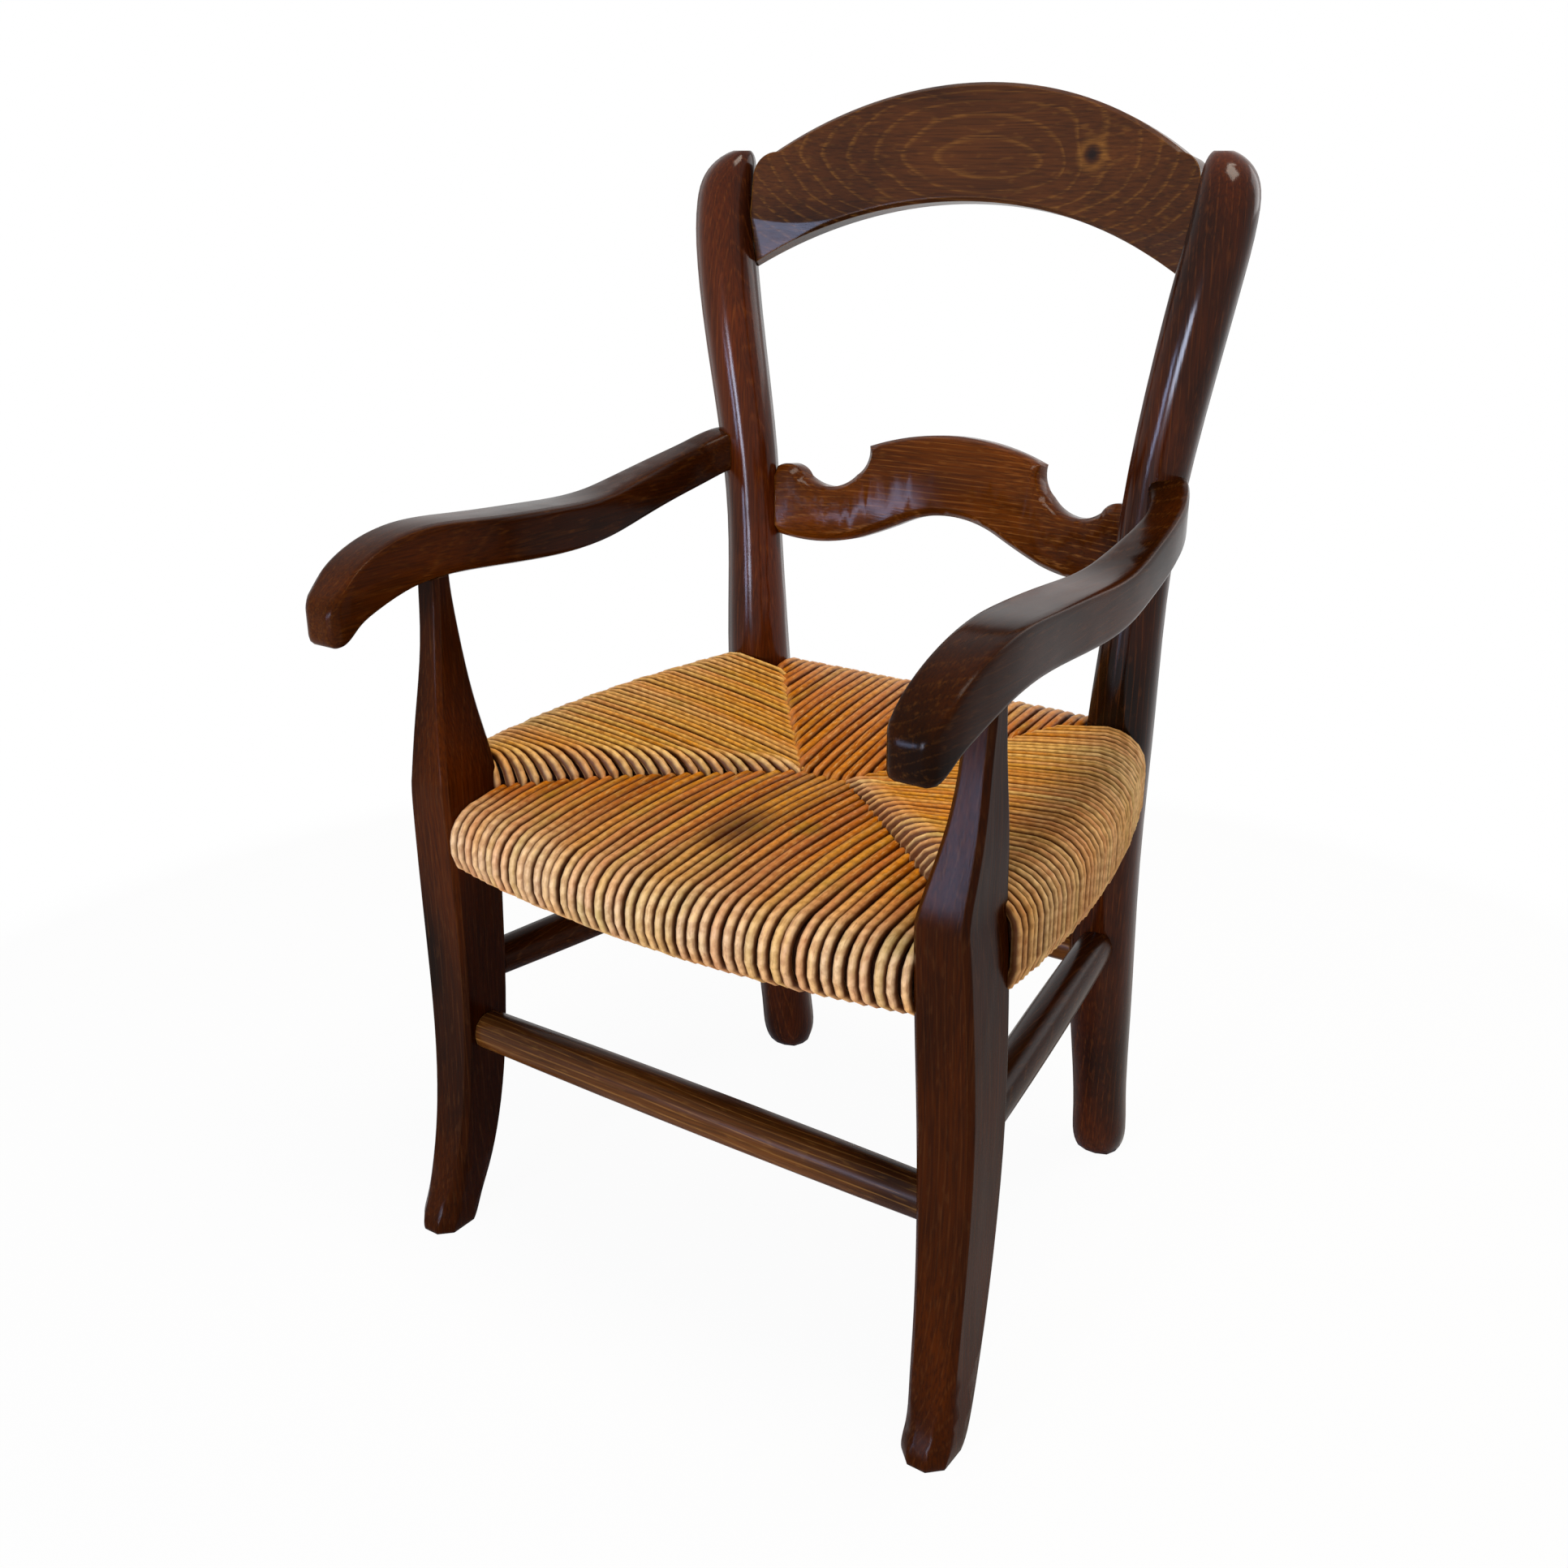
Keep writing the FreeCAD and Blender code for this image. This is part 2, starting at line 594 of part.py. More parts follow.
def at_height(table, height_alias, spread_alias, back_alias, side, height, ahead=1):
    """The middle of a post or leg at a given height, between two of its sections."""
    rise = height / SIZE[height_alias]
    for below, above in zip(table, table[1:]):
        if rise <= above[0]:
            part = (rise - below[0]) / (above[0] - below[0])
            spread = below[1] + part * (above[1] - below[1])
            back = below[2] + part * (above[2] - below[2])
            return vector(side * spread * SIZE[spread_alias], ahead * back * SIZE[back_alias], height)
    return None


def post_core(side, height):
    return at_height(POST_SHARES, "post_height", "post_half_spread", "post_setback", side, height)


def leg_core(side, height):
    return at_height(
        LEG_SHARES, "leg_knee_height", "leg_half_spread", "leg_forward", side, height, -1
    )


def closed_outline(sketch, points):
    """Straight lines from each point to the next, and back to the first."""
    sketch.addGeometry(
        [Part.LineSegment(points[index - 1], points[index]) for index in range(len(points))], False
    )


def field_section(body, name, role, offset, outer, rail, roll, inner, middle):
    """One outline of a rush field: over the rail's roll, and in to the seam."""
    sketch = new_sketch(body, name, role, offset)
    across, height = rail
    wide, tall = roll
    turn = SIZE["rush_corner"]
    edge = across + outer * wide / 2
    shoulder = edge - outer * turn
    over = []
    under = []
    for index in range(RUSH_FLATS + 1):
        angle = math.pi / 2 * index / RUSH_FLATS
        out = shoulder + outer * turn * math.sin(angle)
        drop = turn * (1 - math.cos(angle))
        over.append(vector(out, height + tall / 2 - drop, 0))
        under.append(vector(out, height - tall / 2 + drop, 0))
    seam_top, seam_bottom = middle
    crown = []
    for index in range(CROWN_FLATS):
        share = index / CROWN_FLATS
        lift = 4 * share * (1 - share) * SIZE["seat_crown"]
        crown.append(vector(
            inner + share * (shoulder - inner),
            seam_top + share * (over[0].y - seam_top) + lift, 0))
    closed_outline(sketch, over + under[::-1] + [vector(inner, seam_bottom, 0)] + crown)
    return sketch


def wedge(name, corners):
    """The upright wedge of the seat's plan that one rush field fills."""
    body = new_body(name)
    sketch = new_sketch(body, name + "_plan", "XY_Plane", ({}, {}, {"front_rail_height": 0.5}))
    closed_outline(sketch, [vector(x, y, 0) for x, y in corners])
    block = body.newObject("PartDesign::Pad", name + "_pad")
    block.Profile = sketch
    block.setExpression("Length", formula({"side_rail_height": 1.0}))
    return body


def rush_field(name, corners, sections_of):
    """One of the four rush fields, trimmed to its own wedge of the seat."""
    body = new_body(name + "_field")
    loft(body, name + "_skin", [sections_of(body, name, share) for share in FIELD_SHARES])
    trimmed = DOC.addObject("Part::Common", name)
    trimmed.Base = body
    trimmed.Tool = wedge(name + "_wedge", corners)
    return trimmed


def rail_line(front, share):
    """The front or rear seat rail's middle line, at a share of the way to the leg or post."""
    if front:
        bow = SIZE["front_rail_bow"] * (1 - share * share)
        return (share * SIZE["leg_half_spread"], -SIZE["front_rail_forward"] - bow,
                SIZE["front_rail_height"])
    return share * SIZE["post_half_spread"], SIZE["rear_rail_setback"], SIZE["rear_rail_height"]


def cross_field(side_of_seat):
    """The front (-1) or rear (1) field: its strands run from front to back."""
    front = side_of_seat < 0
    rail_tall = SIZE["front_rail_tall" if front else "rear_rail_tall"]
    spread = "leg_half_spread" if front else "post_half_spread"
    roll = (SIZE["seat_rail_width"] + 2 * SIZE["rush_wrap"], rail_tall + 2 * SIZE["rush_wrap"])

    def section(body, name, share):
        label = "%s_section_%d" % (name, FIELD_SHARES.index(share))
        _, centre, height = rail_line(front, share)
        return field_section(
            body, label, "YZ_Plane", ({}, {}, {spread: share}), side_of_seat,
            (centre, height), roll,
            SIZE["seam_setback"] - side_of_seat * SIZE["rush_wrap"], seat_middle(),
        )

    return section


def side_field(side):
    """The left (-1) or right (1) field: its strands run from side to side."""
    front = seat_corner_front()[1]
    rear = seat_corner_rear()[1]

    def section(body, name, share):
        label = "%s_section_%d" % (name, FIELD_SHARES.index(share))
        centre, height = side_rail_place(side, share)
        run = (front + rear) / 2 + share * (rear - front) / 2
        roll = (SIZE["seat_rail_width"] + 2 * SIZE["rush_wrap"],
                SIZE["side_rail_tall"] + 2 * SIZE["rush_wrap"])
        sketch = field_section(
            body, label, "XZ_Plane", ({}, {}, {}), side, (centre, height), roll,
            side * (SIZE["seam_half_length"] - SIZE["rush_wrap"]), seat_middle(),
        )
        sketch.AttachmentOffset = FreeCAD.Placement(vector(0, 0, -run), FreeCAD.Rotation())
        return sketch

    return section


def seat_middle():
    top = SIZE["seat_middle_height"]
    return top, top - SIZE["seat_middle_thickness"]


def seat_corner_front():
    """Where a front leg's inner and rear faces meet at the seat."""
    leg = leg_core(1, SIZE["front_rail_height"])
    width_share, depth_share = LEG_AT_SEAT_SHARES
    return (leg.x - width_share * SIZE["leg_width"] / 2,
            leg.y + depth_share * SIZE["leg_depth"] / 2)


def seat_corner_rear():
    """The inner front corner of a rear post at the seat."""
    post = post_core(1, SIZE["rear_rail_height"])
    return post.x - SIZE["post_width"] / 2, post.y - SIZE["post_width"] / 2


def side_rail_place(side, share):
    """A side seat rail's middle line, from the leg (-1) to the post (1)."""
    way = (1 + share) / 2
    front = SIZE["side_rail_front_half"]
    rear = SIZE["side_rail_rear_half"]
    out = front + way * (rear - front) + SIZE["side_rail_bow"] * (1 - share * share)
    return side * out, SIZE["side_rail_height"] + way * SIZE["side_rail_climb"]


def side_rail_point(side, run):
    """The same middle line, at a place between the front and the back of the chair."""
    front = seat_corner_front()[1]
    rear = seat_corner_rear()[1]
    x, z = side_rail_place(side, (2 * run - front - rear) / (rear - front))
    return vector(x, run, z)


def build_seat(tools):
    """The rush seat: four fields that meet along the mitred seams."""
    front_x, front_y = seat_corner_front()
    rear_x, rear_y = seat_corner_rear()
    seam_x = SIZE["seam_half_length"]
    seam_y = SIZE["seam_setback"]
    bite = SIZE["rush_bite"]
    over = SIZE["cut_overrun"]
    corner_y = rear_y + SIZE["post_width"] / 3
    ahead = -SIZE["front_rail_forward"] - SIZE["front_rail_bow"] - over
    behind = SIZE["rear_rail_setback"] + over
    far = SIZE["leg_half_spread"] + over
    half_plans = {
        "front_rush": [(front_x, front_y), (front_x + bite, front_y - bite), (front_x + bite, ahead)],
        "rear_rush": [(rear_x, corner_y), (rear_x + bite, corner_y), (rear_x + bite, behind)],
    }
    fields = []
    for side_of_seat, name in ((-1, "front_rush"), (1, "rear_rush")):
        right = [(seam_x, seam_y)] + half_plans[name]
        left = [(-x, y) for x, y in right]
        fields.append(rush_field(name, right + left[::-1], cross_field(side_of_seat)))
    for side, name in ((-1, "left_rush"), (1, "right_rush")):
        fields.append(rush_field(name, [
            (side * front_x, front_y), (side * seam_x, seam_y), (side * rear_x, corner_y),
            (side * SIZE["post_half_spread"], rear_y + bite), (side * far, rear_y + bite),
            (side * far, front_y - bite), (side * (front_x + bite), front_y - bite),
        ], side_field(side)))
    whole = joined("rush_fields", fields)
    return cut_by("rush_seat", whole, tools)


def build_back_rails(posts):
    """The crest rail and the carved middle rail, coped to both posts, and their mortises."""
    crest_frame = leaning("crest_end_height", "crest_front_setback", "back_lean")
    mid_frame = leaning("mid_underside_height", "mid_front_setback", "mid_lean")
    crest = crest_board("crest_board")
    crest.Placement = crest_frame
    crest_round = eased_edges("crest_eased", crest, "crest_arris", is_long_crest_edge)
    mid = bowed_board(
        "mid_board", SIZE["mid_half_length"], SIZE["mid_bow"], SIZE["mid_thickness"],
        {"mid_arris": -1.0}, {"mid_rise": 1.0, "mid_arris": 1.0}, mid_outline())
    mid.Placement = mid_frame
    mid_front = eased_edges("mid_front_eased", mid, "mid_arris", mid_edges(mid_frame, 0))
    mid_round = eased_edges(
        "mid_eased", mid_front, "mid_back_arris", mid_edges(mid_frame, SIZE["mid_thickness"]))
    facets = [facet_tool("crest_facet_%d" % side, side, crest_frame) for side in (-1, 1)]
    crest_cut = cut_by("crest_coped", crest_round, posts + facets)
    mid_cut = cut_by("mid_coped", mid_round, posts)
    rails = []
    mortises = {-1: [], 1: []}
    for label, coped, frame, half, thickness, low, tall in (
        ("crest_rail", crest_cut, crest_frame, "crest_half_length", "crest_thickness",
         SIZE["crest_facet_height"] / 2, SIZE["tenon_tall"] * 2),
        ("mid_rail", mid_cut, mid_frame, "mid_half_length", "mid_thickness",
         SIZE["mid_rise"] / 8, SIZE["tenon_tall"] * 2),
    ):
        tenons = []
        for side in (-1, 1):
            centre = vector(side * SIZE[half], SIZE[thickness] / 2, low + tall / 2)
            lengths = ({"tenon_reach": 2.0}, {"flat_tenon": 1.0}, {"tenon_tall": 2.0})
            tenons.append(peg("%s_tenon_%d" % (label, side), centre, lengths, 0, frame))
            mortises[side].append(peg("%s_mortise_%d" % (label, side), centre, lengths, 1, frame))
        rails.append(joined(label, [coped] + tenons))
    return rails, mortises


def is_long_crest_edge(edge):
    """The long arrises along the two arches of the crest rail."""
    return edge.Length > SIZE["crest_half_length"] * 1.5


def mid_edges(frame, depth):
    """A test for the sawn edges on the middle rail's front face, or that deep behind it."""
    half = SIZE["mid_half_length"]
    near = SIZE["edge_near"]
    inverse = frame.inverse()

    def test(edge):
        points = [inverse.multVec(point) for point in edge.discretize(EDGE_PLACES)]
        sawn = any(abs(point.x) < half - near for point in points)
        return sawn and all(
            abs(point.y - depth - bow_depth(half, SIZE["mid_bow"], min(half, abs(point.x)))) < near
            for point in points
        )

    return test


def build_seat_rails(posts, legs):
    """The four seat rails inside the rush, with their tenons, channels and mortises."""
    reach = leg_core(1, SIZE["front_rail_height"]).x / SIZE["leg_half_spread"]
    path = [vector(*rail_line(True, share)) for share in (-reach, 0, reach)]
    specs = [("front_seat_rail", path, "front_rail_tall", legs)]
    for side, name in ((-1, "left_seat_rail"), (1, "right_seat_rail")):
        leg_y = leg_core(side, SIZE["side_rail_height"]).y
        post_y = post_core(side, SIZE["side_rail_height"]).y
        path = [side_rail_point(side, run) for run in (leg_y, (leg_y + post_y) / 2, post_y)]
        both = [legs[0] if side < 0 else legs[1], posts[0] if side < 0 else posts[1]]
        specs.append((name, path, "side_rail_tall", both))
    rails = []
    channels = []
    for name, path, tall, hosts in specs:
        strip = bowed_strip(name + "_strip", path, SIZE["seat_rail_width"], SIZE[tall])
        channels.append(
            bowed_strip(name + "_channel", path, SIZE["seat_rail_width"], SIZE[tall], 1))
        rails.append((name, cut_by(name + "_coped", strip, hosts)))
    rear_z = SIZE["rear_rail_height"]
    rear_half = post_core(1, rear_z).x
    centre = vector(0, SIZE["rear_rail_setback"], rear_z)
    lengths = ({"post_half_spread": 2.0}, {"seat_rail_width": 1.0}, {"rear_rail_tall": 1.0})
    straight = peg("rear_seat_rail_strip", centre, lengths)
    channels.append(peg("rear_seat_rail_channel", centre, lengths, 1))
    rails.append(("rear_seat_rail", cut_by("rear_seat_rail_coped", straight, posts)))
    tenons = seat_tenons()
    mortises = {"leg": {-1: [], 1: []}, "post": {-1: [], 1: []}}
    finished = []
    for name, coped in rails:
        own = []
        for label, rail, host, side, centre, lengths in tenons:
            if rail == name:
                own.append(peg(label + "_tenon", centre, lengths))
                mortises[host][side].append(peg(label + "_mortise", centre, lengths, 1))
        finished.append(joined(name, [coped] + own))
    return finished, channels, mortises


def seat_tenons():
    """Where each seat rail's tenon stands: rail, its host, centre and size."""
    across = ({"tenon_reach": 2.0}, {"flat_tenon": 1.0}, {"tenon_tall": 1.0})
    inward = ({"flat_tenon": 1.0}, {"tenon_reach": 2.0}, {"tenon_tall": 1.0})
    front_z = SIZE["front_rail_height"]
    rear_z = SIZE["rear_rail_height"]
    leg_face, leg_back = seat_corner_front()
    post_face, post_front = seat_corner_rear()
    _, front_y, _ = rail_line(True, leg_face / SIZE["leg_half_spread"])
    found = []
    for side, word in ((-1, "left"), (1, "right")):
        start_x, start_z = side_rail_place(side, -1)
        end_x, end_z = side_rail_place(side, 1)
        lift = SIZE["tenon_tall"] / 4
        found.append(("front_rail_" + word, "front_seat_rail", "leg", side,
                      vector(side * leg_face, front_y, front_z - lift), across))
        found.append((word + "_rail_front", word + "_seat_rail", "leg", side,
                      vector(start_x, leg_back, start_z + lift), inward))
        found.append((word + "_rail_rear", word + "_seat_rail", "post", side,
                      vector(end_x, post_front, end_z), inward))
        found.append(("rear_rail_" + word, "rear_seat_rail", "post", side,
                      vector(side * post_face, SIZE["rear_rail_setback"] + lift, rear_z), across))
    return found


def build_stretchers(posts, legs):
    """Four turned stretchers, each with a round tenon at both ends."""
    front_z = SIZE["front_bar_height"]
    side_z = SIZE["side_bar_height"]
    rear_z = SIZE["rear_bar_height"]
    front_x = leg_core(1, front_z).x
    rear = post_core(1, rear_z)
    front_y = -SIZE["front_bar_forward"]
    specs = [
        ("front_stretcher", vector(-front_x, front_y, front_z), vector(front_x, front_y, front_z),
         "front_bar_width", legs, ("leg", -1), ("leg", 1)),
        ("rear_stretcher", vector(-rear.x, rear.y, rear_z), vector(rear.x, rear.y, rear_z),
         "rear_bar_width", posts, ("post", -1), ("post", 1)),
    ]
    for side, word in ((-1, "left"), (1, "right")):
        leg = leg_core(side, side_z)
        post = post_core(side, side_z)
        hosts = [legs[0], posts[0]] if side < 0 else [legs[1], posts[1]]
        specs.append((word + "_stretcher", leg, post, "side_bar_width", hosts,
                      ("leg", side), ("post", side)))
    bars = []
    mortises = {"leg": {-1: [], 1: []}, "post": {-1: [], 1: []}}
    for name, start, end, width, hosts, first, last in specs:
        bar = stretcher_bar(name + "_bar", start, end, width)
        shy = SIZE["leg_width"] / 8
        length = (end - start).Length
        rod = round_core(name + "_tenons", start, end, shy, length - shy)
        hole = round_core(name + "_mortise", start, end, shy, length - shy, 1)
        coped = cut_by(name + "_coped", bar, hosts)
        bars.append(joined(name, [coped, rod]))
        for kind, side in (first, last):
            mortises[kind][side].append(hole)
    return bars, mortises


def build():
    """Makes every piece of the chair and returns the finished ones."""
    sides = ((-1, "left"), (1, "right"))
    post_bodies = [rear_post(word + "_post_blank", side) for side, word in sides]
    leg_bodies = [front_leg(word + "_leg_blank", side) for side, word in sides]
    arm_bodies = [arm_blank(word + "_arm_blank", side) for side, word in sides]
    post_gaps = [rear_post(word + "_post_gap", side, 1) for side, word in sides]
    leg_gaps = [front_leg(word + "_leg_gap", side, 1) for side, word in sides]
    arm_gaps = [arm_blank(word + "_arm_gap", side, 1) for side, word in sides]
    back_rails, back_mortises = build_back_rails(post_gaps)
    seat_rails, channels, seat_mortises = build_seat_rails(post_gaps, leg_gaps)
    bars, bar_mortises = build_stretchers(post_gaps, leg_gaps)
    done = back_rails + seat_rails + bars
    for index, (side, word) in enumerate(sides):
        near = place_on_arm(side, ARM_SHARES[-2])
        tip = place_on_arm(side, ARM_SHARES[-1])
        run = (tip - near).Length
        rod = round_core(word + "_arm_tenon", near, tip, 0, run)
        hole = round_core(word + "_arm_mortise", near, tip, 0, run, 1)
        top = vector(
            side * UPPER_LEG_SHARES[-1][1] * SIZE["leg_half_spread"],
            -UPPER_LEG_SHARES[-1][2] * SIZE["leg_forward"], SIZE["leg_height"])
        pin = arm_pin(word + "_leg_tenon", top)
        socket = arm_pin(word + "_leg_socket", top, 1)
        arm = cut_by(word + "_arm_coped", arm_bodies[index], [post_gaps[index], socket])
        done.append(joined(word + "_arm", [arm, rod]))
        leg = cut_by(word + "_leg_coped", leg_bodies[index],
                     [arm_gaps[index]] + seat_mortises["leg"][side] + bar_mortises["leg"][side])
        done.append(joined(word + "_front_leg", [leg, pin]))
        done.append(cut_by(
            word + "_rear_post", post_bodies[index],
            [hole] + back_mortises[side] + seat_mortises["post"][side] + bar_mortises["post"][side]))
    done.append(build_seat(post_gaps + leg_gaps + channels))
    return done


def arm_pin(name, top, gap=0):
    """The round tenon on a front leg's top, which enters the arm from below."""
    pin = DOC.addObject("Part::Cylinder", name)
    pin.setExpression("Radius", formula({"arm_tenon": 0.5, "joint_gap": gap}))
    pin.setExpression("Height", formula({"tenon_reach": 2.0, "joint_gap": gap}))
    pin.Placement = FreeCAD.Placement(top - vector(0, 0, SIZE["tenon_reach"] * 1.5), FreeCAD.Rotation())
    return pin


def check(pieces):
    """Stops when any object failed or any piece is not one sound solid."""
    for item in DOC.Objects:
        if "Invalid" in item.State or "Error" in item.State:
            raise RuntimeError("%s: %s" % (item.Name, item.State))
    for piece in pieces:
        shape = piece.Shape
        if shape.isNull() or not shape.isValid() or not shape.Solids:
            raise RuntimeError("%s is not a sound solid" % piece.Label)
        box = shape.optimalBoundingBox()
        print("%-18s solids %d volume %9.0f  x %.1f..%.1f  y %.1f..%.1f  z %.1f..%.1f" % (
            piece.Label, len(shape.Solids), shape.Volume, box.XMin, box.XMax, box.YMin, box.YMax,
            box.ZMin, box.ZMax))


def main():
    os.makedirs("parts", exist_ok=True)
    fill_sheet()
    pieces = build()
    DOC.recompute()
    check(pieces)
    for piece in pieces:
        piece.Shape.exportStep(os.path.join("parts", piece.Label + ".step"))


main()
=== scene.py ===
# %% [markdown]
# A child's armchair in the French country manner: dark, glossy wood and a hand-twisted rush seat.
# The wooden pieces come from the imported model, where their shapes and joints are. Here each of
# them gets soft arrises and a stained, varnished wood, and the seat gets its real strands.

# %% Load the frame
import json
import math
import random

import bmesh
import bpy
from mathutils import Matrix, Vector


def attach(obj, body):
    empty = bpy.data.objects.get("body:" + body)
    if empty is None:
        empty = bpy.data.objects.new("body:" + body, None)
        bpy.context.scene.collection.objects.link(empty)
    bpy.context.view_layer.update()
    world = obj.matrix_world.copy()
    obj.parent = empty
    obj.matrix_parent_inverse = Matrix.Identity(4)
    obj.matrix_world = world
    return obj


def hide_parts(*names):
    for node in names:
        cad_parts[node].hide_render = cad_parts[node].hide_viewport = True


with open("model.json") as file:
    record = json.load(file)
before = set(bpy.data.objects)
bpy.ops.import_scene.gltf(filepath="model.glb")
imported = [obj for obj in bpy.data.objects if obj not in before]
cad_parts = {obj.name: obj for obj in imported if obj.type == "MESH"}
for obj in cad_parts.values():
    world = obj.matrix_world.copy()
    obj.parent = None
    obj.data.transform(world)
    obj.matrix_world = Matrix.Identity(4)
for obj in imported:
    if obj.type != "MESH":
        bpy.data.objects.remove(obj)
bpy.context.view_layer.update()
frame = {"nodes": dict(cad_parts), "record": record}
scene = bpy.context.scene
MM = 0.001
print("nodes", sorted(frame["nodes"]))

# %% [markdown]
# Colours are easiest to note as sRGB hex codes, as a paint card gives them, but shaders work in
# linear light. One function turns one into the other, so every colour below is read the same way.

# %% Colours


def colour(code):
    """The linear colour that a shader needs, from an sRGB hex code."""
    linear = []
    for at in (1, 3, 5):
        share = int(code[at:at + 2], 16) / 255
        linear.append(share / 12.92 if share <= 0.04045 else ((share + 0.055) / 1.055) ** 2.4)
    return (*linear, 1.0)


print("middle grey in linear light", round(colour("#808080")[0], 3))

# %% [markdown]
# A finish is a tree of shader nodes. One function adds a node and says all there is to say about
# it: its settings, what goes into its sockets, and a ramp's stops. A node given as an input sends
# the output that its settings leave open; where another output is meant, that socket is given.

# %% Shader nodes


def add(tree, kind, settings=None, inputs=None, stops=()):
    """Adds a shader node; its inputs are values, sockets or nodes, and stops are for a ramp."""
    node = tree.nodes.new(kind)
    for word, value in (settings or {}).items():
        setattr(node, word, value)
    for socket, value in (inputs or {}).items():
        if isinstance(value, bpy.types.Node):
            value = next(output for output in value.outputs if output.enabled)
        if isinstance(value, bpy.types.NodeSocket):
            tree.links.new(value, node.inputs[socket])
        else:
            node.inputs[socket].default_value = value
    if stops:
        marks = node.color_ramp.elements
        while len(marks) < len(stops):
            marks.new(0.5)
        for mark, (at, shade) in zip(marks, stops):
            mark.position = at
            mark.color = shade if isinstance(shade, tuple) else (shade, shade, shade, 1.0)
    return node


def new_material(name):
    """A material with an empty node tree, and that tree."""
    material = bpy.data.materials.new(name)
    material.use_nodes = True
    material.node_tree.nodes.clear()
    return material, material.node_tree


print("sockets are named and numbered as in Blender", bpy.app.version_string)

# %% [markdown]
# The photograph was taken from the front right, a little above the arms. A camera that stands
# there, looks the same way and has the same lens draws every edge where the photograph has it.

# %% Camera
CAMERA_PLACE = Vector((0.4710, -0.7056, 0.6007))
CAMERA_AZIMUTH = math.radians(34.56)
CAMERA_ELEVATION = math.radians(21.05)
eye = bpy.data.cameras.new("camera")
eye.sensor_width = 36.0
eye.lens = 37.81
camera = bpy.data.objects.new("camera", eye)
scene.collection.objects.link(camera)
camera.location = CAMERA_PLACE
back = Vector((
    math.sin(CAMERA_AZIMUTH) * math.cos(CAMERA_ELEVATION),
    -math.cos(CAMERA_AZIMUTH) * math.cos(CAMERA_ELEVATION),
    math.sin(CAMERA_ELEVATION),
))
camera.rotation_mode = "QUATERNION"
camera.rotation_quaternion = (-back).to_track_quat("-Z", "Y")
scene.camera = camera
scene.view_settings.view_transform = "Standard"
print("camera", [round(value, 4) for value in camera.location])

# %% [markdown]
# The floor is a pale sheet that only has to carry the chair's shadow, so most of what the camera
# sees of it is plain white. Away from the chair nothing else is left, and no edge or horizon shows.

# %% Floor
FLOOR_REACH = 3.0
SHADOW_REACH = 0.80
FADE_START = 0.3 * SHADOW_REACH
PLAIN_SHARE = 0.955


def white_floor():
    """Matt paper that the camera sees as mostly plain white, and as nothing else further off."""
    material, tree = new_material("matt_white_paper")
    place = add(tree, "ShaderNodeTexCoord")
    far = add(tree, "ShaderNodeVectorMath", {"operation": "LENGTH"}, {0: place.outputs["Object"]})
    fade = add(tree, "ShaderNodeMapRange", {"interpolation_type": "SMOOTHSTEP"}, {
        "Value": far, "From Min": FADE_START, "From Max": SHADOW_REACH})
    ray = add(tree, "ShaderNodeLightPath")
    near = add(tree, "ShaderNodeMath", {"operation": "MULTIPLY"}, {
        0: ray.outputs["Is Camera Ray"], 1: PLAIN_SHARE})
    seen = add(tree, "ShaderNodeMath", {"operation": "MAXIMUM"}, {
        0: ray.outputs["Is Camera Ray"], 1: ray.outputs["Is Glossy Ray"]})
    far_off = add(tree, "ShaderNodeMath", {"operation": "MULTIPLY"}, {0: seen, 1: fade})
    share = add(tree, "ShaderNodeMath", {"operation": "MAXIMUM"}, {0: near, 1: far_off})
    paper = add(tree, "ShaderNodeBsdfDiffuse", None, {"Color": colour("#FBFBFA")})
    plain = add(tree, "ShaderNodeEmission", None, {"Color": colour("#FFFFFF"), "Strength": 1.0})
    mix = add(tree, "ShaderNodeMixShader", None, {0: share, 1: paper, 2: plain})
    add(tree, "ShaderNodeOutputMaterial", None, {"Surface": mix})
    return material


def new_object(name, bm, material):
    """Writes a bmesh to an object of its own, at the origin."""
    mesh = bpy.data.meshes.new(name)
    bm.to_mesh(mesh)
    bm.free()
    made = bpy.data.objects.new(name, mesh)
    scene.collection.objects.link(made)
    mesh.materials.append(material)
    return made


bm = bmesh.new()
bmesh.ops.create_circle(bm, cap_ends=True, segments=64, radius=FLOOR_REACH)
floor = new_object("floor", bm, white_floor())
print("floor", FLOOR_REACH, "m in radius")

# %% [markdown]
# A low window in front of the real chair drew long cool streaks down the posts and made the roll of
# rush paler than its top. A soft lamp stands for it, and a smaller one beside it for the blue light
# on the flat at the crest rail's left lower corner. A warm lamp above gives the spots on the posts'
# heads, a faint one lights the back, and the world fills in the rest.

# %% Lamps


def soft_lamp(name, place, aim, width, height, power, tint):
    """A rectangular lamp that looks at a point of the chair; sides in metres, power in watts."""
    data = bpy.data.lights.new(name, "AREA")
    data.shape = "RECTANGLE"
    data.size = width
    data.size_y = height
    data.energy = power
    data.color = colour(tint)[:3]
    lamp = bpy.data.objects.new(name, data)
    scene.collection.objects.link(lamp)
    lamp.location = place
    lamp.rotation_mode = "QUATERNION"
    lamp.rotation_quaternion = (Vector(aim) - Vector(place)).to_track_quat("-Z", "Y")
    lamp.visible_camera = False


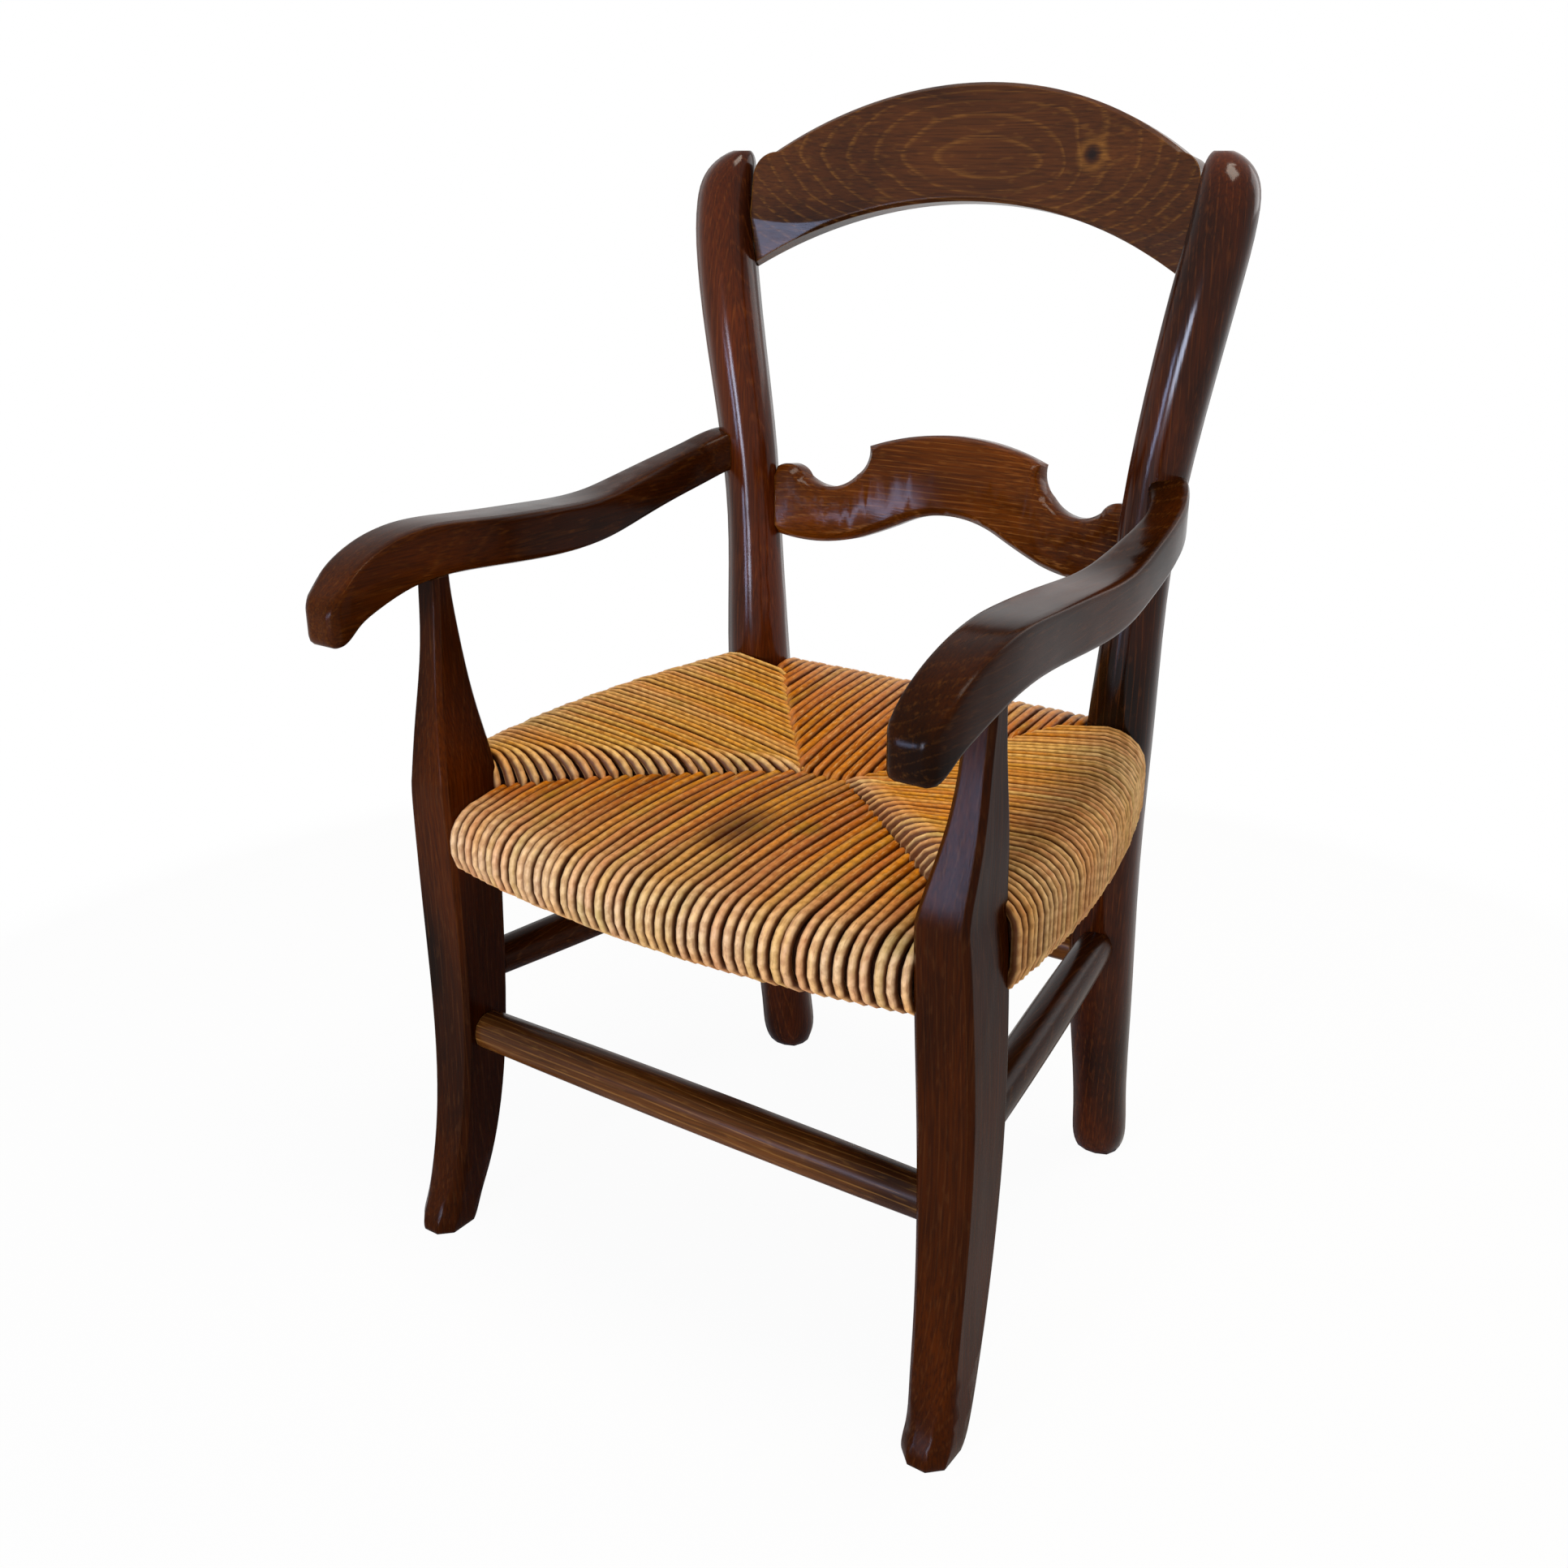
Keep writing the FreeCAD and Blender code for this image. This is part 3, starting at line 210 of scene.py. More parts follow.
ARM_LEVEL = (0.0, 0.0, 0.40)
SEAT_LEVEL = (0.0, 0.0, 0.30)
soft_lamp("window", (-0.12, -2.00, 0.36), ARM_LEVEL, 0.34, 0.46, 27.0, "#D6E2FF")
soft_lamp("side_window", (-0.65, -1.65, 0.26), ARM_LEVEL, 0.22, 0.34, 8.0, "#BCD0FF")
soft_lamp("ceiling", (0.35, -0.10, 1.85), SEAT_LEVEL, 0.60, 0.60, 18.0, "#FFF4E4")
soft_lamp("rear_fill", (0.9, 1.5, 1.0), SEAT_LEVEL, 1.0, 1.0, 8.0, "#FFFFFF")
print("lamps", sorted(lamp.name for lamp in bpy.data.lights))

# %% [markdown]
# The room is white where the camera or a reflection looks at it, and gives the chair only a little
# light, so the background stays white while the lamps still draw the forms.

# %% Room
ROOM_LIGHT = 0.14
world = bpy.data.worlds.new("plain_room")
world.use_nodes = True
scene.world = world
room = world.node_tree
room.nodes.clear()
ray = add(room, "ShaderNodeLightPath")
faint = add(room, "ShaderNodeBackground", None, {
    "Color": colour("#FFFFFF"), "Strength": ROOM_LIGHT})
white = add(room, "ShaderNodeBackground", None, {"Color": colour("#FFFFFF"), "Strength": 1.0})
seen = add(room, "ShaderNodeMath", {"operation": "MAXIMUM"}, {
    0: ray.outputs["Is Camera Ray"], 1: ray.outputs["Is Glossy Ray"]})
blend = add(room, "ShaderNodeMixShader", None, {0: seen, 1: faint, 2: white})
add(room, "ShaderNodeOutputWorld", None, {"Surface": blend})
print("room light", ROOM_LIGHT)

# %% [markdown]
# The wood was stained dark and varnished to a gloss. All its patterns run with the grain, so they
# are drawn in the piece's own coordinates, squeezed across the grain and stretched along it. Each
# size below says how wide and how long a pattern is. Real pores are a tenth of a millimetre wide,
# too fine to show from here, so they are drawn as streaks ten times as wide.

# %% Along the grain
CLOUDS = (71.43 * MM, 166.67 * MM)
RING_SWAY = (45.455 * MM, 200.0 * MM)
PLANE_MARKS = (13.3333 * MM, 50.0 * MM)
RUBBED_PATCHES = (16.6667 * MM, 33.3333 * MM)
FLECKS = (2.38095 * MM, 10.5263 * MM)
PORES = (1.05263 * MM, 38.4615 * MM)


def along_grain(tree, grain, size, middle=(0.0, 0.0, 0.0)):
    """Coordinates that grow by 1 with each size across the grain and along it, from a middle."""
    across, lengthwise = size
    scale = [1 / across] * 3
    scale[grain] = 1 / lengthwise
    place = add(tree, "ShaderNodeTexCoord")
    moved = add(tree, "ShaderNodeVectorMath", {"operation": "SUBTRACT"}, {
        0: place.outputs["Object"], 1: middle})
    return add(tree, "ShaderNodeVectorMath", {"operation": "MULTIPLY"}, {0: moved, 1: scale})


print("pores are drawn", [round(size / MM, 1) for size in PORES], "mm wide and long")

# %% [markdown]
# A tree adds a ring each year. Here the rings are shells round a point deep in the log, pulled long
# in the direction of the grain, so a board shows lines or long ovals as a sawn one does. A slow
# noise makes them wander, and on the crest rail they bend round the knot that a branch left.

# %% Growth rings and a knot
RING_WANDER = 3.4
KNOT_REACH = 22 * MM


def knot_span(tree, knot):
    """How far a point is from the knot's middle; at 1 the knot no longer bends the rings."""
    place = add(tree, "ShaderNodeTexCoord")
    away = add(tree, "ShaderNodeVectorMath", {"operation": "DISTANCE"}, {
        0: place.outputs["Object"], 1: knot})
    return add(tree, "ShaderNodeMath", {"operation": "DIVIDE"}, {0: away, 1: KNOT_REACH})


def growth_rings(tree, wood, span):
    """How strongly a ring's light line shows: it fades in slowly and ends sharply."""
    ring_size = (wood["ring"], wood["ring"] / wood["stretch"])
    depth = add(tree, "ShaderNodeVectorMath", {"operation": "LENGTH"}, {
        0: along_grain(tree, wood["grain"], ring_size, wood["heart"])})
    sway = add(tree, "ShaderNodeTexNoise", None, {
        "Vector": along_grain(tree, wood["grain"], RING_SWAY), "Scale": 1.0})
    phase = add(tree, "ShaderNodeMath", {"operation": "MULTIPLY_ADD"}, {
        0: sway, 1: RING_WANDER, 2: depth})
    if span is not None:
        bend = add(tree, "ShaderNodeValToRGB", None, {"Fac": span}, (
            (0.0, 1.0), (0.35, 0.6), (1.0, 0.0)))
        phase = add(tree, "ShaderNodeMath", {"operation": "ADD"}, {0: phase, 1: bend})
    within = add(tree, "ShaderNodeMath", {"operation": "FRACT"}, {0: phase})
    return add(tree, "ShaderNodeValToRGB", None, {"Fac": within}, (
        (0.0, 0.0), (0.72, 0.0), (0.90, wood["ring_share"]), (1.0, 0.0)))


print("the knot bends the rings", round(KNOT_REACH / MM), "mm away")

# %% [markdown]
# Under the varnish the stain lies in clouds, darker where the wood drank more of it. Other colours
# lie over it like thin coats of glaze, each where its own pattern lets it show: the rings' light
# lines, broken by the pores, the knot with its pale rim, small pale flecks, and the dark pores.

# %% Colours of the wood
SHARE, UNDER, OVER = 0, 6, 7  # a Mix node's sockets when it mixes colours
KNOT_BLACK = "#120B0C"
PORE_BLACK = "#0E0503"


def glaze(tree, shade, coats):
    """Lays coats of colour over a shade. A coat is a pattern, the ramp's stops, and a colour."""
    for pattern, stops, tint in coats:
        share = pattern
        if stops:
            share = add(tree, "ShaderNodeValToRGB", None, {"Fac": pattern}, stops)
        shade = add(tree, "ShaderNodeMix", {"data_type": "RGBA"}, {
            SHARE: share, UNDER: shade, OVER: colour(tint)})
    return shade


def wood_colour(tree, wood, cloud, pores):
    """The colour of a wood under its varnish."""
    span = knot_span(tree, wood["knot"]) if "knot" in wood else None
    solid = add(tree, "ShaderNodeValToRGB", None, {"Fac": pores}, ((0.34, 0.0), (0.60, 1.0)))
    rings = add(tree, "ShaderNodeMath", {"operation": "MULTIPLY"}, {
        0: growth_rings(tree, wood, span), 1: solid})
    flecks = add(tree, "ShaderNodeTexNoise", None, {
        "Vector": along_grain(tree, wood["grain"], FLECKS), "Scale": 1.0, "Detail": 1.0})
    coats = [(cloud, ((0.32, 0.0), (0.70, 1.0)), wood["brown"]), (rings, None, wood["line"])]
    if span is not None:
        coats += [(span, ((0.18, 0.0), (0.30, 0.26), (0.50, 0.0)), wood["line"]),
                  (span, ((0.08, 0.9), (0.26, 0.0)), KNOT_BLACK)]
    coats += [(flecks, ((0.60, 0.0), (0.74, 0.12)), wood["line"]),
              (pores, ((0.34, 0.45), (0.60, 0.0)), PORE_BLACK)]
    return glaze(tree, colour(wood["dark"]), coats)


print("colours go into a Mix node's sockets", UNDER, "and", OVER)

# %% [markdown]
# Hands and knees have rubbed the stain off the arrises. The Bevel shader node gives the normal that
# a slightly rounded edge would have. Where it leans away from the face's own normal there is an
# arris, and the paler wood shows there in patches. The same normal lets the edges catch the light.

# %% Worn arrises
EDGE_ROUND = 1.3 * MM


def worn_arrises(tree, wood, shade, soft_edge):
    """The wood's colour with its rubbed arrises, from the normal of a softened edge."""
    shape = add(tree, "ShaderNodeNewGeometry")
    facing = add(tree, "ShaderNodeVectorMath", {"operation": "DOT_PRODUCT"}, {
        0: soft_edge, 1: shape.outputs["Normal"]})
    rubbed = add(tree, "ShaderNodeValToRGB", None, {"Fac": facing}, ((0.80, 0.70), (0.96, 0.0)))
    patches = add(tree, "ShaderNodeTexNoise", None, {
        "Vector": along_grain(tree, wood["grain"], RUBBED_PATCHES), "Scale": 1.0})
    patchy = add(tree, "ShaderNodeValToRGB", None, {"Fac": patches}, ((0.35, 0.15), (0.62, 1.0)))
    worn = add(tree, "ShaderNodeMath", {"operation": "MULTIPLY"}, {0: rubbed, 1: patchy})
    return glaze(tree, shade, [(worn, None, wood["line"])])


print("edges look rounded by", round(EDGE_ROUND / MM, 1), "mm")

# %% [markdown]
# Varnish over planed wood is glossy but not flat: it follows the shallow marks of the plane, sinks
# a little into the pores, and is duller where it wore. The marks and pores are bumps, and the cloud
# that darkens the stain also varies the roughness. Old varnish reflects less than glass does, and
# how much less is matched to each piece with the specular level.

# %% Varnished wood
PORE_DEEP = 0.08 * MM


def finished_wood(wood):
    """The material of one wood, from its row in the table below."""
    material, tree = new_material(wood["name"])
    cloud = add(tree, "ShaderNodeTexNoise", None, {
        "Vector": along_grain(tree, wood["grain"], CLOUDS), "Scale": 1.0, "Detail": 3.0})
    pores = add(tree, "ShaderNodeTexNoise", None, {
        "Vector": along_grain(tree, wood["grain"], PORES), "Scale": 1.0, "Roughness": 0.6})
    plane_marks = add(tree, "ShaderNodeTexNoise", None, {
        "Vector": along_grain(tree, wood["grain"], PLANE_MARKS), "Scale": 1.0, "Detail": 1.0})
    soft_edge = add(tree, "ShaderNodeBevel", {"samples": 6}, {"Radius": EDGE_ROUND})
    shade = worn_arrises(tree, wood, wood_colour(tree, wood, cloud, pores), soft_edge)
    planed = add(tree, "ShaderNodeBump", None, {
        "Strength": 1.0, "Distance": wood["waves"], "Height": plane_marks, "Normal": soft_edge})
    grainy = add(tree, "ShaderNodeBump", None, {
        "Strength": 0.4, "Distance": PORE_DEEP, "Height": pores, "Normal": planed})
    roughness = add(tree, "ShaderNodeMapRange", None, {
        "Value": cloud, "To Min": wood["rough"] - 0.04, "To Max": wood["rough"] + 0.07})
    varnish = add(tree, "ShaderNodeBsdfPrincipled", None, {
        "Base Color": shade, "Roughness": roughness, "IOR": 1.5,
        "Specular IOR Level": wood["shine"], "Normal": grainy})
    add(tree, "ShaderNodeOutputMaterial", None, {"Surface": varnish})
    return material


print("pores are sunk", round(PORE_DEEP / MM, 2), "mm")

# %% [markdown]
# The two rails of the back look like walnut and the rest like beech stained to match; the seat
# rails are bare inside the rush. A row says along which axis the grain runs (0, 1 or 2), where the
# log's heart was, how wide a ring is and how little it curves along the grain, the stain's two
# browns and the rings' colour, how strongly the rings show, how rough and how shiny the varnish is,
# and how deep the plane's marks are.

# %% The chair's eight woods
WOODS = {
    "crest_wood": dict(
        name="varnished_flat_sawn_walnut", grain=0, heart=(0.009, 0.141, 0.603), ring=4.4 * MM,
        stretch=0.42, dark="#260E04", brown="#663714", line="#A8702E", ring_share=0.22,
        rough=0.22, shine=0.15, waves=0.16 * MM, knot=(0.0736, 0.160, 0.5988)),
    "mid_rail_wood": dict(
        name="varnished_carved_walnut", grain=0, heart=(0.02, 0.13, 0.38), ring=3.2 * MM,
        stretch=0.16, dark="#260B02", brown="#7C3C06", line="#A86C30", ring_share=0.32,
        rough=0.12, shine=0.07, waves=0.06 * MM),
    "arm_wood": dict(
        name="varnished_shaped_beech", grain=1, heart=(0.2, 0.0, 0.30), ring=5.0 * MM,
        stretch=0.08, dark="#190801", brown="#522302", line="#86521E", ring_share=0.10,
        rough=0.18, shine=0.045, waves=0.26 * MM),
    "leg_wood": dict(
        name="varnished_sawn_beech", grain=2, heart=(0.0, -0.02, 0.2), ring=3.2 * MM,
        stretch=0.04, dark="#170601", brown="#4E1E00", line="#6E4420", ring_share=0.16,
        rough=0.18, shine=0.045, waves=0.26 * MM),
    "post_wood": dict(
        name="varnished_rounded_beech", grain=2, heart=(0.0, 0.05, 0.3), ring=3.6 * MM,
        stretch=0.05, dark="#140501", brown="#5E2506", line="#8A4A1A", ring_share=0.20,
        rough=0.12, shine=0.14, waves=0.26 * MM),
    "cross_bar_wood": dict(
        name="rubbed_turned_beech", grain=0, heart=(0.0, -0.15, 0.1), ring=3.0 * MM,
        stretch=0.05, dark="#32180A", brown="#6C3C12", line="#B07A38", ring_share=0.40,
        rough=0.26, shine=0.09, waves=0.20 * MM),
    "side_bar_wood": dict(
        name="varnished_turned_beech", grain=1, heart=(0.10, 0.0, 0.12), ring=3.0 * MM,
        stretch=0.05, dark="#170802", brown="#421E06", line="#7A4A20", ring_share=0.28,
        rough=0.22, shine=0.05, waves=0.20 * MM),
    "seat_rail_wood": dict(
        name="bare_riven_beech", grain=0, heart=(0.0, 0.0, 0.1), ring=3.0 * MM,
        stretch=0.05, dark="#8A6238", brown="#A67A48", line="#C79A62", ring_share=0.30,
        rough=0.60, shine=0.20, waves=0.20 * MM),
}
wood_of = {slot_name: finished_wood(wood) for slot_name, wood in WOODS.items()}
print("woods", [wood["name"] for wood in WOODS.values()])

# %% [markdown]
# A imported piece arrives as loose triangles, each of whose edges would catch the light. A copy is
# welded at its seams. At the crest rail's two lower corners the cheeks of the tenons stand a little
# proud of the flats, and an arm's nose ends in a sawn face, so these two are eased by hand.

# %% Ease the crest rail and the arms
WELD = 0.02 * MM
CORNER_START = 96 * MM
CORNER_TOP = 575 * MM
MOST_PROUD = 2 * MM
NOSE_CUTS = (0.5 * MM, 1.3 * MM, 2.6 * MM, 4.3 * MM)
NOSE_LONG = 6 * MM
NOSE_DRAWN = 4 * MM


def flush_corners(bm):
    """Brings the lower flats at a crest rail's ends and the cheeks of its tenons into one plane."""
    bm.normal_update()
    for side in (-1, 1):
        end = [face for face in bm.faces if side * face.calc_center_median().x > CORNER_START]
        flats = [face for face in end if face.normal.y < -0.9 and -0.2 < face.normal.z < 0.0]
        if not flats:
            continue
        flat = max(flats, key=lambda face: face.calc_area())
        normal, origin = flat.normal.copy(), flat.verts[0].co.copy()
        for vert in {vert for face in end for vert in face.verts}:
            proud = normal.dot(vert.co - origin)
            if 0.0 < proud < MOST_PROUD and vert.co.z < CORNER_TOP:
                vert.co.y -= proud / normal.y


def round_nose(bm):
    """Eases the sawn front end of an arm all round, and returns how far back the round reaches."""
    front = min(vert.co.y for vert in bm.verts)
    for depth in NOSE_CUTS:
        bmesh.ops.bisect_plane(bm, geom=bm.verts[:] + bm.edges[:] + bm.faces[:],
                               plane_co=(0.0, front + depth, 0.0), plane_no=(0.0, 1.0, 0.0))
    nose = [vert for vert in bm.verts if vert.co.y < front + NOSE_LONG]
    middle = sum((vert.co for vert in nose), Vector()) / len(nose)
    for vert in nose:
        share = 1 - (vert.co.y - front) / NOSE_LONG
        away = vert.co - middle
        away.y = 0.0
        vert.co -= away.normalized() * NOSE_DRAWN * (1 - math.sqrt(1 - share * share))
    return front + NOSE_LONG


print("an arm's nose is eased over", round(NOSE_LONG / MM), "mm")

# %% [markdown]
# Each copy is shaded smooth up to a real arris, whose angle in degrees depends on the piece; the
# worn feet and the arms' noses have none. Weighted normals keep the broad faces flat, so the narrow
# flats of an eased corner read as one round. The posts and bars have no broad faces, and plain
# smooth shading makes them round all over.

# %% Smooth the wooden pieces
ARRIS_ANGLE = {"crest_wood": 9, "leg_wood": 30, "arm_wood": 40}
SOFT_ARRIS = 52
FOOT_HEIGHT = 45 * MM
BROAD_FACE_WEIGHT = 80
ROUND_SLOTS = ("post_wood", "cross_bar_wood", "side_bar_wood")


def finished_copy(node_name, slot_name):
    """A welded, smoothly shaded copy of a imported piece, which takes its place."""
    arris = math.radians(ARRIS_ANGLE.get(slot_name, SOFT_ARRIS))
    bm = bmesh.new()
    bm.from_mesh(frame["nodes"][node_name].data)
    bmesh.ops.remove_doubles(bm, verts=bm.verts, dist=WELD)
    nose_end = round_nose(bm) if slot_name == "arm_wood" else -math.inf
    if slot_name == "crest_wood":
        flush_corners(bm)
    for face in bm.faces:
        face.smooth = True
        face.material_index = 0
    for edge in bm.edges:
        rounded = (max(vert.co.z for vert in edge.verts) < FOOT_HEIGHT
                   or max(vert.co.y for vert in edge.verts) < nose_end)
        if len(edge.link_faces) == 2 and edge.calc_face_angle(0.0) > arris and not rounded:
            edge.smooth = False
    piece = new_object(node_name + "_finished", bm, wood_of[slot_name])
    if slot_name not in ROUND_SLOTS:
        even = piece.modifiers.new("even_shading", "WEIGHTED_NORMAL")
        even.keep_sharp = True
        even.weight = BROAD_FACE_WEIGHT
    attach(piece, "root")
    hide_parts(node_name)


slot_of = {row["node"]: row["material_slot"] for row in frame["record"]["subparts"]}
wooden = sorted(node_name for node_name, slot_name in slot_of.items() if slot_name != "rush")
for node_name in wooden:
    finished_copy(node_name, slot_of[node_name])
print("wooden pieces", len(wooden))

# %% [markdown]
# The seat is twisted rush, about 6.4 mm to a strand at the front and rear and 4.8 mm at the sides.
# Each strand comes up out of a seam, runs over the stuffing to its rail, turns round it and goes
# back underneath. The four fields meet in mitres, and these are the seams between them, seen from
# above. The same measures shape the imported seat, so the strands lie where its top is.

# %% The seat's seams
SEAM_HALF = 16.0 * MM
SEAM_Y = 19.0 * MM
FRONT_CORNER = Vector((144.6, -91.1)) * MM
REAR_CORNER = Vector((106.2, 127.6)) * MM
REAR_ROW_END = 115.1 * MM


def front_seam(x):
    """How far back the front field reaches at x."""
    share = max(0.0, (abs(x) - SEAM_HALF) / (FRONT_CORNER.x - SEAM_HALF))
    return SEAM_Y + share * (FRONT_CORNER.y - SEAM_Y)


def rear_seam(x):
    """How far forward the rear field reaches at x."""
    share = max(0.0, (abs(x) - SEAM_HALF) / (REAR_CORNER.x - SEAM_HALF))
    return SEAM_Y + share * (REAR_CORNER.y - SEAM_Y)


def side_seam(y):
    """How far in a side field reaches at y."""
    corner = FRONT_CORNER if y < SEAM_Y else REAR_CORNER
    return SEAM_HALF + (corner.x - SEAM_HALF) * (y - SEAM_Y) / (corner.y - SEAM_Y)


print("seams meet at", [round(value, 4) for value in (SEAM_HALF, SEAM_Y)])

# %% [markdown]
# Round each rail the rush makes a roll. The front roll bows forward, the side rolls bow outwards
# and climb to the rear, and the rear roll is straight. A roll's middle is given as how far out it
# lies and how high. Between the roll and the seam a field is slightly crowned by the stuffing.

# %% The rolls and the fields' tops
ROLL_WIDE = 32.0 * MM
FRONT_HALF = 166.0 * MM
FRONT_OUT = 105.0 * MM
FRONT_BOW = 22.0 * MM
FRONT_HIGH = 248.0 * MM
FRONT_TALL = 32.0 * MM
FRONT_INNER = -25.0 * MM
REAR_OUT = 135.0 * MM
REAR_HIGH = 273.0 * MM
REAR_TALL = 34.0 * MM
REAR_INNER = 13.0 * MM
SIDE_OUT = 158.5 * MM
SIDE_TAPER = 30.0 * MM
SIDE_BOW = 11.0 * MM
SIDE_HIGH = 262.0 * MM
SIDE_CLIMB = 10.5 * MM
SIDE_TALL = 45.0 * MM
SIDE_INNER = 10.0 * MM
SEAM_TOP = 268.0 * MM
SEAM_BOTTOM = 244.0 * MM
CROWN = 3.5 * MM
TURN = 13.0 * MM
TURN_LONG = 18.0 * MM


def front_rail(x):
    """Middle of the front roll at x: how far forward, and how high."""
    share = x / FRONT_HALF
    return FRONT_OUT + FRONT_BOW * (1 - share * share), FRONT_HIGH


def side_rail(y):
    """Middle of a side roll at y: how far out, and how high."""
    way = (y - FRONT_CORNER.y) / (REAR_ROW_END - FRONT_CORNER.y)
    share = 2 * way - 1
    out = SIDE_OUT - SIDE_TAPER * way + SIDE_BOW * (1 - share * share)
    return out, SIDE_HIGH + SIDE_CLIMB * way


def field_top(u, centre, top, inner):
    """Height of a field's upper side at u, between its roll and its inner end."""
    shoulder = centre + ROLL_WIDE / 2 - TURN
    share = (u - shoulder) / (inner - shoulder)
    return top + share * (SEAM_TOP - top) + 4 * CROWN * share * (1 - share)


def front_top(x, y):
    """Height of the front field's upper side at a place of the seat."""
    centre, height = front_rail(x)
    return field_top(-y, centre, height + FRONT_TALL / 2, FRONT_INNER)


print("front roll's middle", [round(value, 4) for value in front_rail(0.0)])

# %% [markdown]
# The outline of a strand is drawn in a plane of its own: u runs outwards from the middle of the
# seat and z up. Each point also says how much sitters have rubbed the rush pale there, from 0 to 1.
# A strand starts sunk in its seam, or, at the sides in front, as a tip that bends down on to the
# front field.

# %% How a strand starts
SEAM_RUN = 3.5 * MM
SEAM_POINTS = ((-2.0 * MM, -5.0 * MM, 0.0), (0.5 * MM, -1.6 * MM, 0.3))
BEND = 20.0 * MM
BEND_MOST = 0.62
TIP_SUNK = 1.5 * MM


def sunk_end(start, seam_high):
    """The first points of a strand that comes up out of its seam."""
    return [(start + out, seam_high + up, rubbed) for out, up, rubbed in SEAM_POINTS]


def bent_tip(start, inward, top_inward, landing):
    """The first points of a side strand: a quarter of an oval, from the front field up."""
    points = [(start, landing - TIP_SUNK, 1.0)]
    for share in (0.07, 0.25, 0.5, 0.75):
        rise = math.sqrt(1 - (1 - share) ** 2)
        high = landing + rise * (top_inward - landing)
        points.append((start + share * (inward - start), high, 1 - share))
    return points


print("a side strand's tip bends over", round(BEND / MM), "mm at most")

# %% [markdown]
# From there it runs straight to the shoulder of the roll, round the rail and back underneath. The
# turn is a quarter of an oval above and one below, given by angles in degrees. Points lie closer
# together where the strand bends, so few faces still give a round roll.

# %% One strand's path
STRAIGHT_STEP = 22.0 * MM
RUN_RUBBED = 0.55
OVER_RAIL = ((0, 0.55), (18, 0.7), (36, 0.9), (54, 1.0), (72, 1.0), (90, 1.0))
UNDER_RAIL = ((90, 0.9), (60, 0.7), (28, 0.4), (0, 0.0))


def strand_outline(start, centre, height, tall, inner, landing=None):
    """Points (u, z, rubbed) of a strand, from the seam over the rail and back under the seat."""
    shoulder = centre + ROLL_WIDE / 2 - TURN_LONG
    top = height + tall / 2
    bottom = height - tall / 2
    if landing is None:
        inward = start + SEAM_RUN
        points = sunk_end(start, field_top(start, centre, top, inner))
    else:
        inward = start + min(BEND, BEND_MOST * (shoulder - start))
        points = bent_tip(start, inward, field_top(inward, centre, top, inner), landing)
    steps = max(2, round((shoulder - inward) / STRAIGHT_STEP))
    for index in range(steps):
        u = inward + (shoulder - inward) * index / steps
        points.append((u, field_top(u, centre, top, inner), RUN_RUBBED * (index / steps) ** 3))
    for degrees, rubbed in OVER_RAIL:
        turn = math.radians(degrees)
        u = shoulder + TURN_LONG * math.sin(turn)
        points.append((u, top - TURN * (1 - math.cos(turn)), rubbed))
    for degrees, rubbed in UNDER_RAIL:
        turn = math.radians(degrees)
        u = shoulder + TURN_LONG * math.sin(turn)
        points.append((u, bottom + TURN * (1 - math.cos(turn)), rubbed))
    for share in (0.45, 1.0):
        u = shoulder - (shoulder - start) * share
        sunk = (u - shoulder) / (inner - shoulder)
        points.append((u, bottom + sunk * (SEAM_BOTTOM - bottom), 0.0))
    return points


longest = strand_outline(-front_seam(0.0), *front_rail(0.0), FRONT_TALL, FRONT_INNER)
print("the longest front strand has", len(longest), "points")

# %% [markdown]
# A strand is a length of tube: a small circle is extruded from point to point, so the mesh is one
# closed skin. Four numbers stay with each point of the skin for the material to read: the strand's
# tone, how far along it the point lies, how rubbed it is, and its angle round the strand.

# %% A tube, ring by ring
SIDES = 8
STRAND_WORDS = ("tone", "along", "rubbed", "angle")


def new_strand_mesh():
    """An empty bmesh with the UV map and the numbers that the rush's material reads."""
    bm = bmesh.new()
    bm.loops.layers.uv.new("twist")
    for word in STRAND_WORDS:
        bm.verts.layers.float.new(word)
    return bm


def next_ring(bm, ring, edges):
    """Extrudes a ring of edges; returns the new ring, its edges and the faces between the two."""
    grown = bmesh.ops.extrude_edge_only(bm, edges=edges)["geom"]
    fresh = [item for item in grown if isinstance(item, bmesh.types.BMVert)]
    edges = [item for item in grown if isinstance(item, bmesh.types.BMEdge)
             and all(vert in fresh for vert in item.verts)]
    sides = [item for item in grown if isinstance(item, bmesh.types.BMFace)]
    nearest = {vert: min(ring, key=lambda old: (old.co - vert.co).length_squared)
               for vert in fresh}
    return {vert: ring[old] for vert, old in nearest.items()}, edges, sides


def unroll(bm, faces):
    """Writes the UV map of the new faces: u along the strand in metres, v in turns round it."""
    twist = bm.loops.layers.uv["twist"]
    along, angle = (bm.verts.layers.float[word] for word in ("along", "angle"))
    for face in faces:
        angles = [loop.vert[angle] for loop in face.loops]
        wraps = max(angles) - min(angles) > 0.5
        for loop, turn in zip(face.loops, angles):
            loop[twist].uv = (loop.vert[along], turn + 1 if wraps and turn < 0 else turn)


print("a strand has", SIDES, "sides")

# %% [markdown]
# Each strand gets its own tone, height and slight wander, because each was twisted by hand, and its
# thickness swells and shrinks along it. The tips of the side strands are spread a little wider.
# Every strand is made in a bmesh of its own and then joined to its field's, because an operator
# looks through the whole of a mesh, and that takes long when all the strands are in it.

# %% Twist a strand
STRAND_THICK = 5.6 * MM
END_SLIM = 0.62
FLARE_ROWS = 4
WANDER = (-0.3, 0.3)
LIFT = (-0.5, 0.1)
SWELL, SWELL_LONG = 0.025, 11 * MM
SWAY, SWAY_LONG = 0.45 * MM, 19 * MM
chance = random.Random(7)


